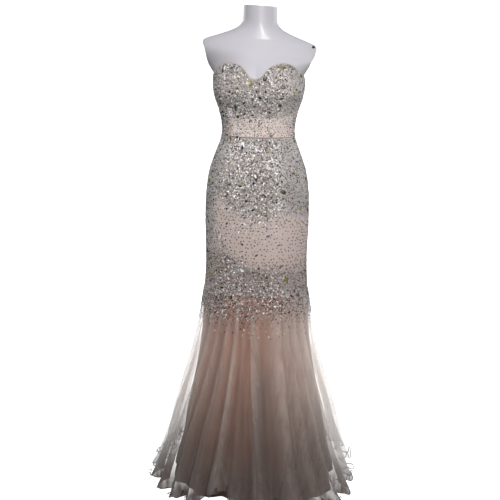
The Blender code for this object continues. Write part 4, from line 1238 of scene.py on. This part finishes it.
def spots(place, ends, heights, spacing, chance, draw):
    """Places a spacing apart in uneven rows, kept as often as chance says."""
    fine = np.linspace(*ends, 1400)
    found = []
    for row, height in enumerate(np.arange(heights[0], heights[1], spacing * 0.87)):
        line = place(fine, np.full_like(fine, height))
        steps = np.linalg.norm(np.diff(line, axis=0), axis=1)
        run = np.concatenate([[0.0], np.cumsum(steps)])
        count = int(run[-1] / spacing)
        along = (np.arange(count) + 0.25 + 0.5 * (row % 2) + draw.uniform(-0.28, 0.28, count)) * spacing
        across = np.interp(along, run, fine)
        found.append(np.stack([across, height + draw.uniform(-0.25, 0.25, count) * spacing], axis=1))
    found = np.concatenate(found)
    return found[draw.random(len(found)) < chance(found[:, 0], found[:, 1])]


crystal = foiled_with_painted_glints("foiled_crystal_painted_glints", {
    "Roughness": 0.17, "Metallic": 0.4, "IOR": 1.6, "Emission Strength": 0.65,
})


def sized(draw, count, width, length, tall):
    return (draw.uniform(*width, count), draw.uniform(*length, count), draw.uniform(*tall, count))


def clear_of_stones(where):
    """The places that no large or middle stone covers."""
    free = np.ones(len(where), bool)
    for row in STONES + MIDDLE_STONES:
        turn = radians(row.turn)
        aside = np.radians(wrapped(where[:, 0] - row.angle)) * GIRTH
        above = where[:, 1] - row.height
        along = (above * np.cos(turn) + aside * np.sin(turn)) / (row.length / 2 + 0.0010)
        across = (aside * np.cos(turn) - above * np.sin(turn)) / (row.width / 2 + 0.0010)
        free &= along * along + across * across > 1
    return where[free]


def packed_chance(angle, height):
    """Beads stop just under the neckline, and lie as closely as the beading says."""
    return (height < neckline(angle) - 0.0022) * beading(angle, height) ** 1.25 * 0.93


def bead_zone(name, ends, heights, seed, spacing=0.0038, place=gown, chance=packed_chance, step=0.5,
              tints=MIXED):
    """The crystals and bugles of one zone, as one joined mesh each."""
    draw = np.random.default_rng(seed)
    where = spots(place, ends, heights, spacing, chance, draw)
    if place is gown:
        where = clear_of_stones(where)
    kind = draw.random(len(where))
    small, bugle = where[kind < 0.84], where[kind >= 0.84]
    big = draw.random(len(small)) ** 4 * 0.0030 + 0.0029
    sizes = (big, big * draw.uniform(0.9, 1.2, len(small)), big * 0.45)
    beads(f"{name}_crystals", place, small, CRYSTAL, sizes, tints, draw, crystal, step=step)
    sizes = sized(draw, len(bugle), (0.0016, 0.0022), (0.0045, 0.0070), (0.0012, 0.0018))
    beads(f"{name}_bugles", place, bugle, BUGLE, sizes, tints, draw, crystal, step=step)


BACK_SPACING = 0.0047
FRONT_ENDS = (-90, 90)
BACK_ENDS = (90, 270)
bead_zone("bust", FRONT_ENDS, (1.206, 1.372), 11)
bead_zone("back", BACK_ENDS, (1.150, 1.318), 12, BACK_SPACING)
bead_zone("midriff", FRONT_ENDS, (1.150, 1.206), 13)
bead_zone("hip_front", FRONT_ENDS, (0.800, 1.143), 14)
bead_zone("hip_back", BACK_ENDS, (0.800, 1.143), 15, BACK_SPACING)
bead_zone("knee_front", FRONT_ENDS, (0.651, 0.800), 16, tints=KNEE_TINTS)
bead_zone("knee_back", BACK_ENDS, (0.651, 0.800), 17, BACK_SPACING, tints=KNEE_TINTS)


def uncurled_net(column, height):
    return net(column, height, 0.0)


def net_chance(column, height):
    return beading(net_angle(column, height), height) ** 1.05 * 0.9


FADE_TINTS = (
    Tint(0.25, DARK.colour), Tint(0.26, GREY.colour), Tint(0.20, SILVER.colour), Tint(0.16, BLUSH.colour),
    Tint(0.13, WHITE.colour),
)
bead_zone("fading", (0, len(NET_FOLDS)), (FADE_END, 0.6505), 18, place=uncurled_net, chance=net_chance,
          step=0.02, tints=FADE_TINTS)

# Scattered beads. Where the blush net shows, single dark beads are sewn about 12 mm apart in
# staggered rows.
SCATTER = 0.0125
draw = np.random.default_rng(21)


def sparse_chance(angle, height):
    open_net = 1 - ease((beading(angle, height) - 0.25) / 0.3)
    return np.where(height < WAIST_SEAM - 0.004, open_net, 0.0) * 0.95


where = spots(gown, (-180, 180), (0.660, 0.960), SCATTER, sparse_chance, draw)
sizes = sized(draw, len(where), (0.0038, 0.0050), (0.0040, 0.0060), (0.0016, 0.0024))
beads("thigh_beads", gown, where, CRYSTAL, sizes, MOSTLY_DARK, draw, crystal)


def midriff_chance(angle, height):
    low = np.abs(wrapped(angle)) < 92
    return low * (height < underbust(angle) - 0.004) * 0.9


where = spots(gown, (-90, 90), (1.152, 1.232), 0.0078, midriff_chance, draw)
sizes = sized(draw, len(where), (0.0028, 0.0040), (0.0030, 0.0044), (0.0014, 0.0020))
MIDRIFF_TINTS = (
    Tint(0.45, DARK.colour), Tint(0.20, GREY.colour), Tint(0.20, WHITE.colour), Tint(0.15, BLUSH.colour),
)
beads("midriff_dots", gown, where, CRYSTAL, sizes, MIDRIFF_TINTS, draw, crystal)

# Waist row. A single line of small round glass beads is sewn over the waist seam, and runs all the
# way round to the zip.
row_angles = np.linspace(-177, 177, 236)
where = np.stack([row_angles, np.full_like(row_angles, WAIST_SEAM)], axis=1)
sizes = (np.full(len(where), 0.0030), np.full(len(where), 0.0030), np.full(len(where), 0.0024))
WAIST_TINTS = (Tint(0.5, (0.45, 0.36, 0.33)), Tint(0.5, (0.24, 0.17, 0.15)))
beads("waist_row", gown, where, CRYSTAL, sizes, WAIST_TINTS, draw, crystal, tilt=4.0)
